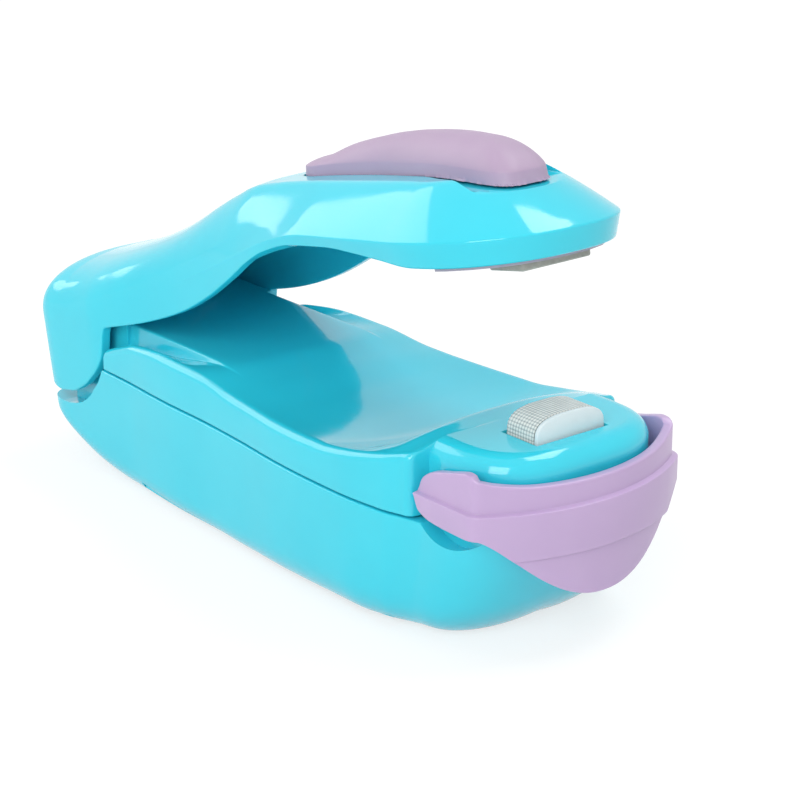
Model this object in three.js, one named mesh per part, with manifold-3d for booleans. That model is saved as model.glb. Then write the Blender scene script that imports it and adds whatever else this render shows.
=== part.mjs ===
// A pocket heat sealer for plastic bags: millimetres, +Z up, nose towards +X, resting on z = 0.
// The arm is drawn closed on the heater, and its group then turns it open about the hinge.
import * as THREE from "three";
import { mergeVertices } from "three/addons/utils/BufferGeometryUtils.js";
import Module from "manifold-3d";

const wasm = await Module();
wasm.setup();

// Driving dimensions
const bodyLength = 100;
const bodyWidth = 37;
const closedHeight = 44;
const partingHeight = 16;
const wall = 1.5;
const armWall = 1.4;
const gap = 0.3;
const overrun = 2;
const openAngleDegrees = 11.5;
// Brings the middle of the open sealer's length to x = 0
const middleShift = 1.25;

// Hinge of the arm
const hingeX = -42.5;
const hingeHeightShare = 0.1;
const pinRadius = 1.25;
const pinEngagement = 1.9;
const postRadius = 3.9;
const postInner = 8.6;
const cheekPlay = 1.64;
const cheekSweepRadius = 8.1;
const cheekFloorZ = 8.5;

// Base, in plan and height
const tailX = -51.6;
const tailRoundStartX = -43;
const shellFrontX = 46.8;
const shellRoundStartX = 36;
const deckRearX = -34.2;
const shoulderX = 34;
const noseWidthShare = 0.762;
const noseFrontX = 47.6;
const noseTopShare = 0.343;
const noseFillet = 2.6;
const railFillet = 1.2;
const plateauWidthShare = 0.632;
const plateauHeightShare = 0.239;
const plateauStep = 0.3;
const plateauFadeStartX = -13;
const plateauFadeEndX = -6;
const bottomRadius = 3.4;
const sideDraft = 0.4;
const tailRise = 7.6;
const tailRiseStartX = -24;
const rakeStartX = 24;
const rakeFootX = 36.6;

// Guard and its pivots
const pivotX = 39.6;
const pivotHeightShare = 0.175;
const guardOuterX = 50.5;
const guardWidthShare = 0.908;
const guardRoundStartX = 37.5;
const guardSquareness = 3.4;
const guardWall = 1.25;
const guardRimInset = 0.75;
const guardSpoonInset = 0.4;
const guardTongueZ = 7.5;
const guardBandBottomZ = 13.9;
const guardBandTopShare = 0.132;
const guardLipHeight = 0.3;
const spoonWidthShare = 0.778;
const lugRearX = 34.5;
const pivotRadius = 1.5;
const washerRadius = 1.9;
const lugNotchX = 40;
const lugNotchShare = 0.15;
const lugNotchRadius = 6.2;
const lugNotchFrontX = 43.3;

// Heater
const heaterMidX = 40.7;
const heaterDepth = 5.6;
const heaterHalfLength = 5.35;
const heaterTopShare = 0.4464;
const heaterArchShare = 0.1;
const heaterFootShare = 0.1215;
const heaterFootTopShare = 0.2714;
const heaterFootHalf = 6.2;
const heaterFootMargin = 0.5;
const clothThickness = 0.35;
const ribbonThickness = 0.25;
const layerGap = 0.15;
const lipThickness = 0.6;
const slotClearance = 0.4;
const carrierBottomZ = 14.2;
const carrierTopShare = 0.0893;
const carrierFrontInset = 0.3;
const rockerRadius = 0.8;
const pressTravel = 1.2;
const heaterSpringRadius = 1.4;
const heaterSpringWire = 0.5;
const heaterSpringSetback = 0.9;
const heaterSpringY = 3.6;
const heaterSpringTurns = 4;
const guideThickness = 1.2;
const contactStripThickness = 0.3;
const contactStripWidth = 1.1;
const contactSetback = 1.1;
const contactPitch = 3;
const contactTipWidth = 1.4;

// Battery bay, for two AA cells side by side
const cellRadius = 7.25;
const cellLength = 49.2;
const cellNubRadius = 2.75;
const cellNubHeight = 1.3;
const cellPitch = 14.6;
const cellClearance = 0.2;
const cellAxisZ = 9.25;
const bayRearX = -26.4;
const batterySpringRoom = 4.7;
const contactThickness = 0.5;
const contactHalfWidth = 5;
const bayRibThickness = 1.4;
const bayRibZ = 11;
const contactTopZ = 14;
const contactBottomZ = 4;
const batterySpringRadius = 3;
const batterySpringWire = 0.6;
const batterySpringTurns = 4;
const doorSetback = 0.8;
const doorTopZ = 1.7;
const doorRecess = 0.2;
const doorGap = 0.5;
const hookMargin = 1.85;
const hookWidth = 1.5;
const hookThickness = 0.7;

// Fasteners
const screwRadius = 1.1;
const screwHeadRadius = 1.9;
const screwHeadHeight = 1.5;
const screwLength = 10;
const bossRadius = 2.4;
const seatBossRadius = 3.1;
const counterboreZ = 3.2;
const bossSplitZ = 5.6;
const frontScrewGap = 5;
const frontScrewY = 5.4;
const rearScrewGap = 5.2;
const rearScrewY = 8.6;
const padScrewX = 33.3;
const padScrewY = 6.5;
const padScrewLength = 5;
const padScrewHead = 0.9;

// Arm, closed
const armRearX = -52.3;
const armFrontX = 48.7;
const armRearRoundX = -45;
const armFrontRoundX = 31;
const headEdgeInset = 0.9;
const padBaseDrop = 0.3;

// Thumb pad and pressure pad
const thumbRearX = -0.15;
const thumbTailX = 4.6;
const thumbWideX = 34.7;
const thumbFrontX = 41.5;
const thumbSquareness = 3.55;
const thumbWallHeight = 1.55;
const thumbTailWall = 1.2;
const recessDepth = 0.37;
const recessFrontDepth = 0.6;
const recessGrowthShare = 0.55;
const headFlatShare = 0.443;
const recessStartX = 26;
const recessEndX = 38;
const wallStartX = 14;
const studRadius = 1.5;
const studLength = 3.2;
const padDepth = 6;
const padLead = 0.6;
const padHalfLength = 5.4;
const padFlange = 0.6;
const padFlangeThickness = 0.5;
const carrierPlateShare = 0.4964;
const carrierPlateThickness = 1.2;
const carrierPlateRearX = 30.5;
const carrierRecess = 0.9;
const carrierRimX = 36.8;
const carrierPlateMargin = 1.9;

// Arm spring
const armSpringRadius = 2.7;
const armSpringWire = 0.8;
const armSpringTurns = 6;
const armSpringPitch = 1.3;

// Sizes that follow from the ones above
const halfWidth = bodyWidth / 2;
const rise = closedHeight - partingHeight;
const above = (share) => partingHeight + rise * share;
const headCutZ = partingHeight + gap;
const hingeZ = above(hingeHeightShare);
const pivotZ = above(pivotHeightShare);
const lugNotchZ = above(lugNotchShare);
const noseTopZ = above(noseTopShare);
const plateauZ = above(plateauHeightShare);
const noseHalfWidth = halfWidth * noseWidthShare;
const plateauHalfWidth = halfWidth * plateauWidthShare;
const guardHalfWidth = halfWidth * guardWidthShare;
const guardSpoonHalfWidth = halfWidth * spoonWidthShare;
const guardBandTopZ = above(guardBandTopShare);
const heaterRearX = heaterMidX - heaterDepth / 2;
const heaterFrontX = heaterMidX + heaterDepth / 2;
const heaterTopZ = above(heaterTopShare);
const heaterArch = rise * heaterArchShare;
const heaterFootZ = above(heaterFootShare);
const heaterFootTopZ = above(heaterFootTopShare);
const carrierTopZ = above(carrierTopShare);
const seatZ = carrierBottomZ - pressTravel * 3;
const heaterSpringX = heaterMidX - heaterSpringSetback;
const contactX = heaterMidX - contactSetback;
const padRearX = heaterMidX + padLead - padDepth / 2;
const padFrontX = padRearX + padDepth;
const carrierPlateZ = above(carrierPlateShare);
const carrierPlateTopZ = carrierPlateZ + carrierRecess + carrierPlateThickness;
const padFlangeZ = carrierPlateTopZ + gap;
const padTopZ = padFlangeZ + padFlangeThickness;
const bayFrontX = bayRearX + cellLength + cellNubHeight + batterySpringRoom;
const doorRearX = bayRearX + doorSetback;
const doorFrontX = bayFrontX - doorSetback;
const doorHalfWidth = cellPitch / 2 + cellRadius + cellClearance;
const contactOuterY = cellPitch / 2 + contactHalfWidth;
const contactInnerY = cellPitch / 2 - contactHalfWidth;
const hookOuterY = doorHalfWidth - hookMargin;
const hookInnerY = hookOuterY - hookWidth;
const frontScrewX = bayFrontX + frontScrewGap;
const rearScrewX = bayRearX - rearScrewGap;

// Half-width of the base at its parting line, from tail to shoulder: shares of body length and half-width
const baseWidthShares = [
  [-0.45, 0.82],
  [-0.4, 0.826],
  [-0.34, 0.834],
  [-0.28, 0.845],
  [-0.22, 0.87],
  [-0.16, 0.888],
  [-0.1, 0.895],
  [0, 0.93],
  [0.09, 0.978],
  [0.155, 0.996],
  [0.22, 1],
  [0.297, 0.966],
  [0.335, 0.912],
  [0.36, 0.885],
  [0.47, 0.865],
];
// Height of the deck's rail: shares of body length and of the rise above the parting line
const railShares = [
  [-0.343, 0.1106],
  [-0.32, 0.1436],
  [-0.27, 0.1986],
  [-0.19, 0.2253],
  [-0.11, 0.2237],
  [-0.02, 0.1939],
  [0.09, 0.1829],
  [0.17, 0.1876],
  [0.23, 0.2143],
  [0.31, 0.2724],
  [0.34, 0.3007],
];
// Height of the deck along its middle
const valleyShares = [
  [-0.343, 0.2394],
  [-0.1, 0.2394],
  [-0.03, 0.2064],
  [0.05, 0.1609],
  [0.13, 0.1483],
  [0.19, 0.1703],
  [0.24, 0.2331],
  [0.29, 0.3164],
  [0.325, 0.3431],
  [0.48, 0.3431],
];
// Height of the low step beside the plateau, where the closed arm's skirt comes down
const stepShares = [
  [-0.343, 0.1011],
  [-0.32, 0.1184],
  [-0.2, 0.1797],
  [-0.1, 0.2269],
  [-0.06, 0.2221],
];
// Closed arm: half-width at the crease, then heights of its ridge, skirt edge and crease
const armWidthShares = [
  [-0.499, 0.832],
  [-0.45, 0.832],
  [-0.38, 0.828],
  [-0.33, 0.8],
  [-0.28, 0.765],
  [-0.22, 0.735],
  [-0.16, 0.722],
  [-0.1, 0.728],
  [-0.03, 0.75],
  [0.05, 0.785],
  [0.13, 0.808],
  [0.22, 0.816],
  [0.31, 0.805],
  [0.487, 0.8],
];
const ridgeShares = [
  [-0.499, 0.4579],
  [-0.46, 0.4846],
  [-0.42, 0.5034],
  [-0.36, 0.5349],
  [-0.29, 0.582],
  [-0.22, 0.648],
  [-0.166, 0.714],
  [-0.125, 0.7643],
  [-0.08, 0.8083],
  [-0.02, 0.8491],
  [0.06, 0.8523],
  [0.16, 0.8523],
  [0.26, 0.8507],
  [0.31, 0.846],
  [0.37, 0.8271],
  [0.42, 0.8036],
  [0.446, 0.7894],
  [0.487, 0.7737],
];
const skirtShares = [
  [-0.34, 0.1609],
  [-0.28, 0.1813],
  [-0.231, 0.2056],
  [-0.165, 0.255],
  [-0.1, 0.3306],
  [-0.035, 0.4311],
  [0.015, 0.516],
  [0.06, 0.5726],
  [0.116, 0.604],
  [0.188, 0.5993],
  [0.237, 0.5773],
  [0.283, 0.549],
  [0.344, 0.516],
  [0.42, 0.5107],
  [0.487, 0.5107],
];
// Cheek lobe below the skirt, from its front edge round to the rear: shares of body length and closed height
const cheekShares = [
  [-0.3462, 0.448],
  [-0.354, 0.384],
  [-0.361, 0.357],
  [-0.376, 0.323],
  [-0.391, 0.3],
  [-0.41, 0.275],
  [-0.446, 0.252],
  [-0.472, 0.252],
  [-0.49, 0.262],
  [-0.506, 0.286],
  [-0.514, 0.32],
  [-0.517, 0.36],
];
const creaseShares = [
  [-0.499, 0.2143],
  [-0.42, 0.2143],
  [-0.3, 0.3007],
  [-0.16, 0.4029],
  [-0.03, 0.5286],
  [0.08, 0.626],
  [0.14, 0.6527],
  [0.22, 0.6449],
  [0.33, 0.6291],
  [0.487, 0.6197],
];
// How much of the head's creased section there is, from the round rear to the head
const headBlendShares = [
  [-0.499, 0],
  [-0.2, 0],
  [0.12, 1],
  [0.487, 1],
];
// Height of the closed arm's edge round its back, between the cheeks
const hoodEdgeShare = 0.24;
const hoodEdgeEndX = -26;
const cheekCutX = -16;

// Guard: upper and lower edge of its lugs and rim
const guardTopShares = [
  [0.345, 0.1326],
  [0.354, 0.197],
  [0.377, 0.2363],
  [0.429, 0.3039],
  [0.445, 0.2693],
  [0.465, 0.2473],
  [0.51, 0.2316],
];
const guardBottomShares = [
  [0.345, 0.1294],
  [0.355, 0.0603],
  [0.375, 0.0336],
  [0.4, 0.0257],
  [0.44, 0.0226],
  [0.51, 0.0226],
];

// Thumb pad: half-width of its plan, and height of its crown
const thumbWidthShares = [
  [0.04, 0.227],
  [0.1, 0.181],
  [0.16, 0.176],
  [0.22, 0.204],
  [0.28, 0.234],
  [0.33, 0.239],
  [0.37, 0.239],
];
const thumbCrownShares = [
  [0, 0.8825],
  [0.035, 0.9096],
  [0.07, 0.945],
  [0.1, 0.9821],
  [0.14, 1.0075],
  [0.18, 1.0243],
  [0.22, 1.0275],
  [0.26, 1.0264],
  [0.3, 1.0186],
  [0.34, 0.995],
  [0.38, 0.9525],
  [0.42, 0.8868],
];

const cyan = 0x63dded;
const lilac = 0xc6afd5;

// A smooth curve through points given as shares of two sizes, with no overshoot between them
function curve(shares, xSize, ySize) {
  const xs = shares.map(([x]) => x * xSize);
  const ys = shares.map(([, y]) => y * ySize);
  const steps = xs.slice(1).map((x, i) => x - xs[i]);
  const slopes = steps.map((h, i) => (ys[i + 1] - ys[i]) / h);
  const tangents = ys.map((_, i) => {
    const before = slopes[i - 1];
    const after = slopes[i];
    if (before === undefined) return after;
    if (after === undefined) return before;
    return before * after <= 0 ? 0 : (2 * before * after) / (before + after);
  });
  return (x) => {
    if (x <= xs[0]) return ys[0];
    if (x >= xs[xs.length - 1]) return ys[ys.length - 1];
    const i = xs.findIndex((limit) => limit > x) - 1;
    const h = steps[i];
    const t = (x - xs[i]) / h;
    const rest = 1 - t;
    const ends = ys[i] * (1 + 2 * t) * rest * rest + ys[i + 1] * t * t * (3 - 2 * t);
    return ends + h * t * rest * (tangents[i] * rest - tangents[i + 1] * t);
  };
}

// A curve of heights, its shares being of the rise above the parting line
function heightCurve(shares) {
  const riseAt = curve(shares, bodyLength, rise);
  return (x) => partingHeight + riseAt(x);
}

const baseWidthAt = curve(baseWidthShares, bodyLength, halfWidth);
const railAt = heightCurve(railShares);
const valleyAt = heightCurve(valleyShares);
const stepAt = heightCurve(stepShares);
const armWidthAt = curve(armWidthShares, bodyLength, halfWidth);
const ridgeAt = heightCurve(ridgeShares);
const skirtAt = heightCurve(skirtShares);
const creaseAt = heightCurve(creaseShares);
const headBlendAt = curve(headBlendShares, bodyLength, 1);
const thumbWidthAt = curve(thumbWidthShares, bodyLength, halfWidth);
const crownAt = heightCurve(thumbCrownShares);
const thumbHalfWidth = thumbWidthAt(thumbWideX);
const postOuter = armWidthAt(hingeX) - armWall - cheekPlay;
const pinHalfLength = postOuter + pinEngagement;
const guardTopAt = heightCurve(guardTopShares);
const guardBottomAt = heightCurve(guardBottomShares);

const mix = (a, b, t) => a + (b - a) * t;
const clamp = THREE.MathUtils.clamp;
const fade = THREE.MathUtils.smoothstep;
const radians = THREE.MathUtils.degToRad;
const steps = (count) => Array.from({ length: count + 1 }, (_, i) => i / count);
// A superellipse's height over its middle, at a share of its half-length
const dome = (share, power) => Math.pow(Math.max(0, 1 - Math.pow(Math.abs(share), power)), 1 / power);

// A closed surface as a solid, facing out
function toSolid(geometry) {
  const bare = new THREE.BufferGeometry();
  const source = geometry.index ? geometry.toNonIndexed() : geometry;
  bare.setAttribute("position", source.getAttribute("position"));
  const merged = mergeVertices(bare, 1e-4);
  const index = merged.index.array;
  const kept = [];
  for (let i = 0; i < index.length; i += 3) {
    const [a, b, c] = index.subarray(i, i + 3);
    if (a !== b && b !== c && c !== a) kept.push(a, b, c);
  }
  const build = (triangles) =>
    new wasm.Manifold(
      new wasm.Mesh({
        numProp: 3,
        vertProperties: merged.attributes.position.array,
        triVerts: new Uint32Array(triangles),
      }),
    );
  const made = build(kept);
  if (made.volume() > 0) return made;
  const turned = kept.map((_, i) => kept[i - (i % 3) + ((3 - (i % 3)) % 3)]);
  return build(turned);
}

function toGeometry(body) {
  const { vertProperties, triVerts, numProp } = body.getMesh();
  const points = new Float32Array((vertProperties.length / numProp) * 3);
  for (let i = 0; i < points.length / 3; i += 1) {
    points.set(vertProperties.subarray(i * numProp, i * numProp + 3), i * 3);
  }
  const geometry = new THREE.BufferGeometry();
  geometry.setAttribute("position", new THREE.BufferAttribute(points, 3));
  geometry.setIndex(new THREE.BufferAttribute(triVerts, 1));
  const loose = geometry.toNonIndexed();
  loose.computeVertexNormals();
  return loose;
}

const join = (first, ...others) => others.reduce((whole, body) => whole.add(body), first);
const cut = (first, ...others) => others.reduce((whole, body) => whole.subtract(body), first);
const meet = (first, second) => first.intersect(second);
const mirrored = (body) => body.mirror([0, 1, 0]);
const bothSides = (body) => join(body, mirrored(body));

// A solid swept through a run of closed sections with equal point counts, its ends capped
function sweep(sections) {
  const points = [];
  const snap = (value) => (Math.abs(value) < 1e-6 ? 0 : value);
  const push = (...corners) => corners.forEach((p) => points.push(...p.map(snap)));
  const count = sections[0].length;
  for (let s = 0; s + 1 < sections.length; s += 1) {
    for (let i = 0; i < count; i += 1) {
      const j = (i + 1) % count;
      const [a, b, c, d] = [sections[s][i], sections[s][j], sections[s + 1][j], sections[s + 1][i]];
      push(a, b, c, a, c, d);
    }
  }
  cap(sections[0], push, true);
  cap(sections[sections.length - 1], push, false);
  const geometry = new THREE.BufferGeometry();
  geometry.setAttribute("position", new THREE.Float32BufferAttribute(points, 3));
  return toSolid(geometry);
}

// Fills a flat section: it is laid on its own plane and triangulated there
function cap(section, push, turned) {
  const corners = section.filter((p, i) => {
    const q = section[(i + 1) % section.length];
    return Math.hypot(p[0] - q[0], p[1] - q[1], p[2] - q[2]) > 1e-6;
  });
  const [x0, y0] = section[0];
  const reaches = corners.map(([x, y]) => Math.hypot(x - x0, y - y0));
  const [farX, farY] = corners[reaches.indexOf(Math.max(...reaches))];
  const flat = corners.map(
    ([x, y, z]) => new THREE.Vector2((x - x0) * (farX - x0) + (y - y0) * (farY - y0), z),
  );
  const clockwise = THREE.ShapeUtils.isClockWise(flat);
  THREE.ShapeUtils.triangulateShape(flat, []).forEach(([a, b, c]) => {
    const face = [corners[a], corners[b], corners[c]];
    push(...(clockwise === turned ? face : face.reverse()));
  });
}

function box(x0, x1, y0, y1, z0, z1) {
  const geometry = new THREE.BoxGeometry(x1 - x0, y1 - y0, z1 - z0);
  geometry.translate((x0 + x1) / 2, (y0 + y1) / 2, (z0 + z1) / 2);
  return toSolid(geometry);
}

function cylinderY(radius, y0, y1, x, z, sides = 32) {
  const geometry = new THREE.CylinderGeometry(radius, radius, y1 - y0, sides);
  geometry.translate(x, (y0 + y1) / 2, z);
  return toSolid(geometry);
}

function cylinderZ(radius, z0, z1, x, y, sides = 24) {
  const geometry = new THREE.CylinderGeometry(radius, radius, z1 - z0, sides);
  geometry.rotateX(Math.PI / 2);
  geometry.translate(x, y, (z0 + z1) / 2);
  return toSolid(geometry);
}

function cylinderX(radius, x0, x1, y, z, sides = 32) {
  const geometry = new THREE.CylinderGeometry(radius, radius, x1 - x0, sides);
  geometry.rotateZ(-Math.PI / 2);
  geometry.translate((x0 + x1) / 2, y, z);
  return toSolid(geometry);
}

// A shape drawn in side view, x and z, and given its width from y0 to y1
function slabY(shape, y0, y1, curveSegments = 12) {
  const geometry = new THREE.ExtrudeGeometry(shape, {
    depth: y1 - y0,
    bevelEnabled: false,
    curveSegments,
  });
  geometry.rotateX(Math.PI / 2);
  geometry.translate(0, y1, 0);
  return toSolid(geometry);
}

// A wire through a list of points, with flat ends
function wire(points, radius, sides, stepCount) {
  const circle = new THREE.Shape();
  circle.absarc(0, 0, radius, 0, 2 * Math.PI, false);
  const path = new THREE.CatmullRomCurve3(points.map((p) => new THREE.Vector3(...p)));
  return toSolid(
    new THREE.ExtrudeGeometry(circle, {
      steps: stepCount,
      extrudePath: path,
      curveSegments: sides / 2,
      bevelEnabled: false,
    }),
  );
}

// Plan outline of the base at its parting line, half of it, from the tail's middle to the nose's middle
function shellOutline(detail) {
  const tail = steps(Math.round(9 * detail)).map((t) => {
    const angle = (t * Math.PI) / 2;
    const x = mix(tailRoundStartX, tailX, Math.pow(Math.cos(angle), 2 / 4.5));
    return [x, baseWidthAt(tailRoundStartX) * Math.pow(Math.sin(angle), 2 / 4.5)];
  });
  const side = steps(Math.round(18 * detail))
    .slice(1, -1)
    .map((t) => {
      const x = mix(tailRoundStartX, shellRoundStartX, t);
      return [x, baseWidthAt(x)];
    });
  const nose = steps(Math.round(12 * detail)).map((t) => {
    const angle = (t * Math.PI) / 2;
    const x = mix(shellRoundStartX, shellFrontX, Math.pow(Math.sin(angle), 2 / 3.4));
    return [x, baseWidthAt(shellRoundStartX) * Math.pow(Math.cos(angle), 2 / 3.4)];
  });
  return [...tail, ...side, ...nose];
}

// A plan point moved in from the outline, towards the middle line or the middle of a round end
function inward([x, y], offset, startX, endX) {
  const middle = clamp(x, startX, endX);
  const reach = Math.hypot(x - middle, y);
  const share = reach > offset ? (reach - offset) / reach : 0;
  return [middle + (x - middle) * share, y * share];
}

// Height of the base's underside: flat, and rising under the tail
function undersideAt(x) {
  const share = Math.max(0, (tailRiseStartX - x) / (tailRiseStartX - tailX));
  return tailRise * Math.pow(share, 3);
}

// A point of the lower case: offset in from its outer face, at a height over its underside
function shellPoint(edge, inset, height) {
  const share = height / partingHeight;
  const low = Math.max(0, bottomRadius - height);
  const corner = bottomRadius - Math.sqrt(bottomRadius * bottomRadius - low * low);
  const offset = inset + corner + sideDraft * (1 - share);
  const [x, y] = inward(edge, offset, tailRoundStartX, shellRoundStartX);
  const foot = mix(rakeFootX, shellFrontX, Math.pow(share, 0.8)) - rakeStartX;
  const raked = x > rakeStartX ? rakeStartX + ((x - rakeStartX) * foot) / (shellFrontX - rakeStartX) : x;
  const low0 = undersideAt(raked);
  return [raked, -y, low0 + (partingHeight - low0) * share];
}

// Heights over the underside at which the lower case's outer face has its edges
const cornerHeights = [0, 0.134, 0.5, 1].map((share) => share * bottomRadius);
const shellHeights = [...cornerHeights, partingHeight * 0.5, partingHeight];

// Half of the lower case as a solid block, moved in by an inset and up by a floor thickness
function shellHalf(inset, floor, topZ, detail) {
  return sweep(
    shellOutline(detail).map((edge) => {
      const middle = [clamp(edge[0], tailRoundStartX, shellRoundStartX), 0];
      const centre = shellPoint(middle, 0, 0);
      const rising = shellHeights.map((height) => {
        const point = shellPoint(edge, inset, height);
        return [point[0], point[1], Math.max(point[2], centre[2] + floor)];
      });
      const top = shellPoint(edge, inset, partingHeight);
      const crown = shellPoint(middle, 0, partingHeight);
      return [
        [centre[0], 0, centre[2] + floor],
        ...rising,
        [top[0], top[1], topZ],
        [crown[0], 0, topZ],
      ];
    }),
  );
}

// Room for the arm's cheeks and back as they swing; a grown copy of it makes the walls round it
function cheekNotch(growth) {
  const shape = new THREE.Shape();
  const radius = cheekSweepRadius + growth;
  const floorZ = cheekFloorZ - growth;
  const top = partingHeight + overrun * 4;
  const rear = tailX - overrun;
  shape.moveTo(hingeX + radius, top);
  shape.lineTo(hingeX + radius, hingeZ);
  shape.absarc(hingeX, hingeZ, radius, 0, -radians(70), true);
  shape.lineTo(hingeX, floorZ);
  shape.lineTo(rear, floorZ);
  shape.lineTo(rear, top);
  const side = slabY(shape, -halfWidth - overrun, growth - postOuter - gap);
  const backX = hingeX - postRadius + gap + growth;
  return join(bothSides(side), box(rear, backX, -halfWidth, halfWidth, floorZ, top));
}

function lugNotch() {
  const shape = new THREE.Shape();
  const drop = lugNotchZ - headCutZ;
  const back = Math.sqrt(lugNotchRadius * lugNotchRadius - drop * drop);
  const backAngle = Math.PI + Math.asin(drop / lugNotchRadius);
  const frontAngle = -Math.acos((lugNotchFrontX - lugNotchX) / lugNotchRadius);
  shape.moveTo(lugNotchX - back, headCutZ + overrun);
  shape.lineTo(lugNotchX - back, headCutZ);
  shape.absarc(lugNotchX, lugNotchZ, lugNotchRadius, backAngle, frontAngle, false);
  shape.lineTo(lugNotchFrontX, headCutZ + overrun);
  return bothSides(slabY(shape, -halfWidth - overrun, -noseHalfWidth));
}

function cellSpace(radius) {
  const rear = bayRearX - contactThickness - gap * 2;
  const front = bayFrontX + contactThickness + gap * 2;
  return bothSides(cylinderX(radius, rear, front, -cellPitch / 2, cellAxisZ, 36));
}

function doorBlank(margin, topZ) {
  const halfSpan = doorHalfWidth + margin;
  return box(doorRearX - margin, doorFrontX + margin, -halfSpan, halfSpan, -overrun, topZ);
}

const screwPlaces = [
  [frontScrewX, -frontScrewY],
  [frontScrewX, frontScrewY],
  [rearScrewX, -rearScrewY],
  [rearScrewX, rearScrewY],
];

function makeLowerShell() {
  const outer = bothSides(shellHalf(0, 0, partingHeight, 1));
  const inner = bothSides(shellHalf(wall, wall, partingHeight + overrun, 0.4));
  const bosses = screwPlaces.map(([x, y]) => cylinderZ(seatBossRadius, 0, bossSplitZ - gap, x, y));
  const ribEnds = [
    [bayRearX - contactThickness - gap - bayRibThickness, bayRearX - contactThickness - gap],
    [bayFrontX + contactThickness + gap, bayFrontX + contactThickness + gap + bayRibThickness],
  ];
  const ribs = ribEnds.map(([x0, x1]) => box(x0, x1, -halfWidth, halfWidth, 0, bayRibZ));
  const pocketRearX = lugNotchX - lugNotchRadius - wall;
  const pocketFloorZ = lugNotchZ - lugNotchRadius - wall;
  const pocketWall = bothSides(
    box(pocketRearX, lugNotchFrontX + wall, -halfWidth, wall - noseHalfWidth, pocketFloorZ, partingHeight),
  );
  const springSeat = box(
    heaterRearX - heaterFootMargin,
    heaterFrontX + heaterFootMargin,
    -heaterFootHalf,
    heaterFootHalf,
    0,
    seatZ,
  );
  const hingeFoot = box(hingeX - postRadius, deckRearX - wall, -postOuter, postOuter, 0, partingHeight);
  const fittings = meet(join(cheekNotch(wall), pocketWall, springSeat, hingeFoot, ...bosses, ...ribs), outer);
  const screwHoles = screwPlaces.map(([x, y]) =>
    join(
      cylinderZ(screwRadius + gap, -overrun, partingHeight, x, y),
      cylinderZ(screwHeadRadius + gap, -overrun, counterboreZ, x, y),
    ),
  );
  return cut(
    join(cut(outer, inner), fittings),
    cheekNotch(0),
    lugNotch(),
    cellSpace(cellRadius + cellClearance),
    doorBlank(doorGap, doorTopZ + gap),
    springPocket(),
    ...screwHoles,
  );
}

// Room for the arm spring's coils between the hinge posts
function springPocket() {
  const radius = armSpringRadius + armSpringWire + gap * 2;
  return join(
    cylinderY(radius, -postInner, postInner, hingeX, hingeZ),
    box(hingeX - postRadius - overrun, hingeX + radius, -postInner, postInner, hingeZ, closedHeight),
    box(hingeX - postRadius - overrun, hingeX, -postInner, postInner, hingeZ - radius, closedHeight),
  );
}

// Plan outline of the deck, half of it: rear wall, side, shoulder and nose
function deckOutline() {
  const cornerRadius = railFillet;
  const side = steps(18).map((t) => {
    const x = mix(deckRearX, shoulderX - cornerRadius, t);
    return [x, baseWidthAt(x)];
  });
  const shoulderWidth = baseWidthAt(shoulderX - cornerRadius);
  const shoulder = steps(4)
    .slice(1)
    .map((t) => {
      const angle = (t * Math.PI) / 2;
      return [
        shoulderX - cornerRadius * (1 - Math.sin(angle)),
        shoulderWidth - cornerRadius * (1 - Math.cos(angle)),
      ];
    });
  const nose = steps(11).map((t) => {
    const angle = (t * Math.PI) / 2;
    const x = mix(shellRoundStartX, noseFrontX, Math.pow(Math.sin(angle), 2 / 3));
    return [x, noseHalfWidth * Math.pow(Math.cos(angle), 2 / 3)];
  });
  return { side, shoulder, nose: [[shoulderX + plateauStep, noseHalfWidth], ...nose] };
}

// Height of the deck's top at a distance from its middle line
function deckHeight(x, y, width, fillet) {
  const rail = x > shoulderX ? noseTopZ : railAt(x);
  const valley = valleyAt(x);
  const reach = Math.max(width - fillet, plateauHalfWidth);
  const dished = valley + (rail - valley) * Math.pow(Math.min(1, y / reach), 2.4);
  const outside = y - plateauHalfWidth - plateauStep;
  const climb = clamp(outside / (reach - plateauHalfWidth - plateauStep), 0, 1);
  const stepped = outside < 0 ? plateauZ : mix(stepAt(x), rail, climb * climb);
  return mix(stepped, dished, fade(x, plateauFadeStartX, plateauFadeEndX));
}

function deckSection(edge, isNose, fillet) {
  const [x] = edge;
  const middle = clamp(x, deckRearX, shellRoundStartX);
  const reach = Math.hypot(x - middle, edge[1]);
  const place = (distance) => {
    const share = clamp(distance / reach, 0, 1);
    return [middle + (x - middle) * share, edge[1] * share];
  };
  const plateau = Math.min(plateauHalfWidth, reach - fillet - plateauStep * 2);
  const surface = (distance) => {
    const [px, py] = place(distance);
    const height = isNose ? noseTopZ : deckHeight(px, py, reach, fillet);
    return [px, -py, height];
  };
  const rim = isNose ? noseTopZ : railAt(x);
  const curveDown = [30, 60, 90].map((degrees) => {
    const angle = radians(degrees);
    const [px, py] = place(reach - fillet * (1 - Math.sin(angle)));
    return [px, -py, rim - fillet * (1 - Math.cos(angle))];
  });
  const outer = [
    ...[0, 0.4, 0.8, 1].map((share) => surface(plateau * share)),
    surface(plateau + plateauStep),
    surface(reach - fillet),
    ...curveDown,
    [x, -edge[1], headCutZ],
  ];
  const roof = Math.min(outer[4][2], outer[5][2]) - wall;
  const low = Math.max(roof, headCutZ + gap);
  const inner = [
    [reach - wall, headCutZ],
    [reach - wall, low],
    [plateau - wall, low],
    [plateau - wall - gap, Math.max(outer[3][2] - wall, low)],
    [0, outer[0][2] - wall],
  ].map(([distance, z]) => {
    const [px, py] = place(distance);
    return [px, -py, z];
  });
  return [...outer, ...inner];
}

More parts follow.
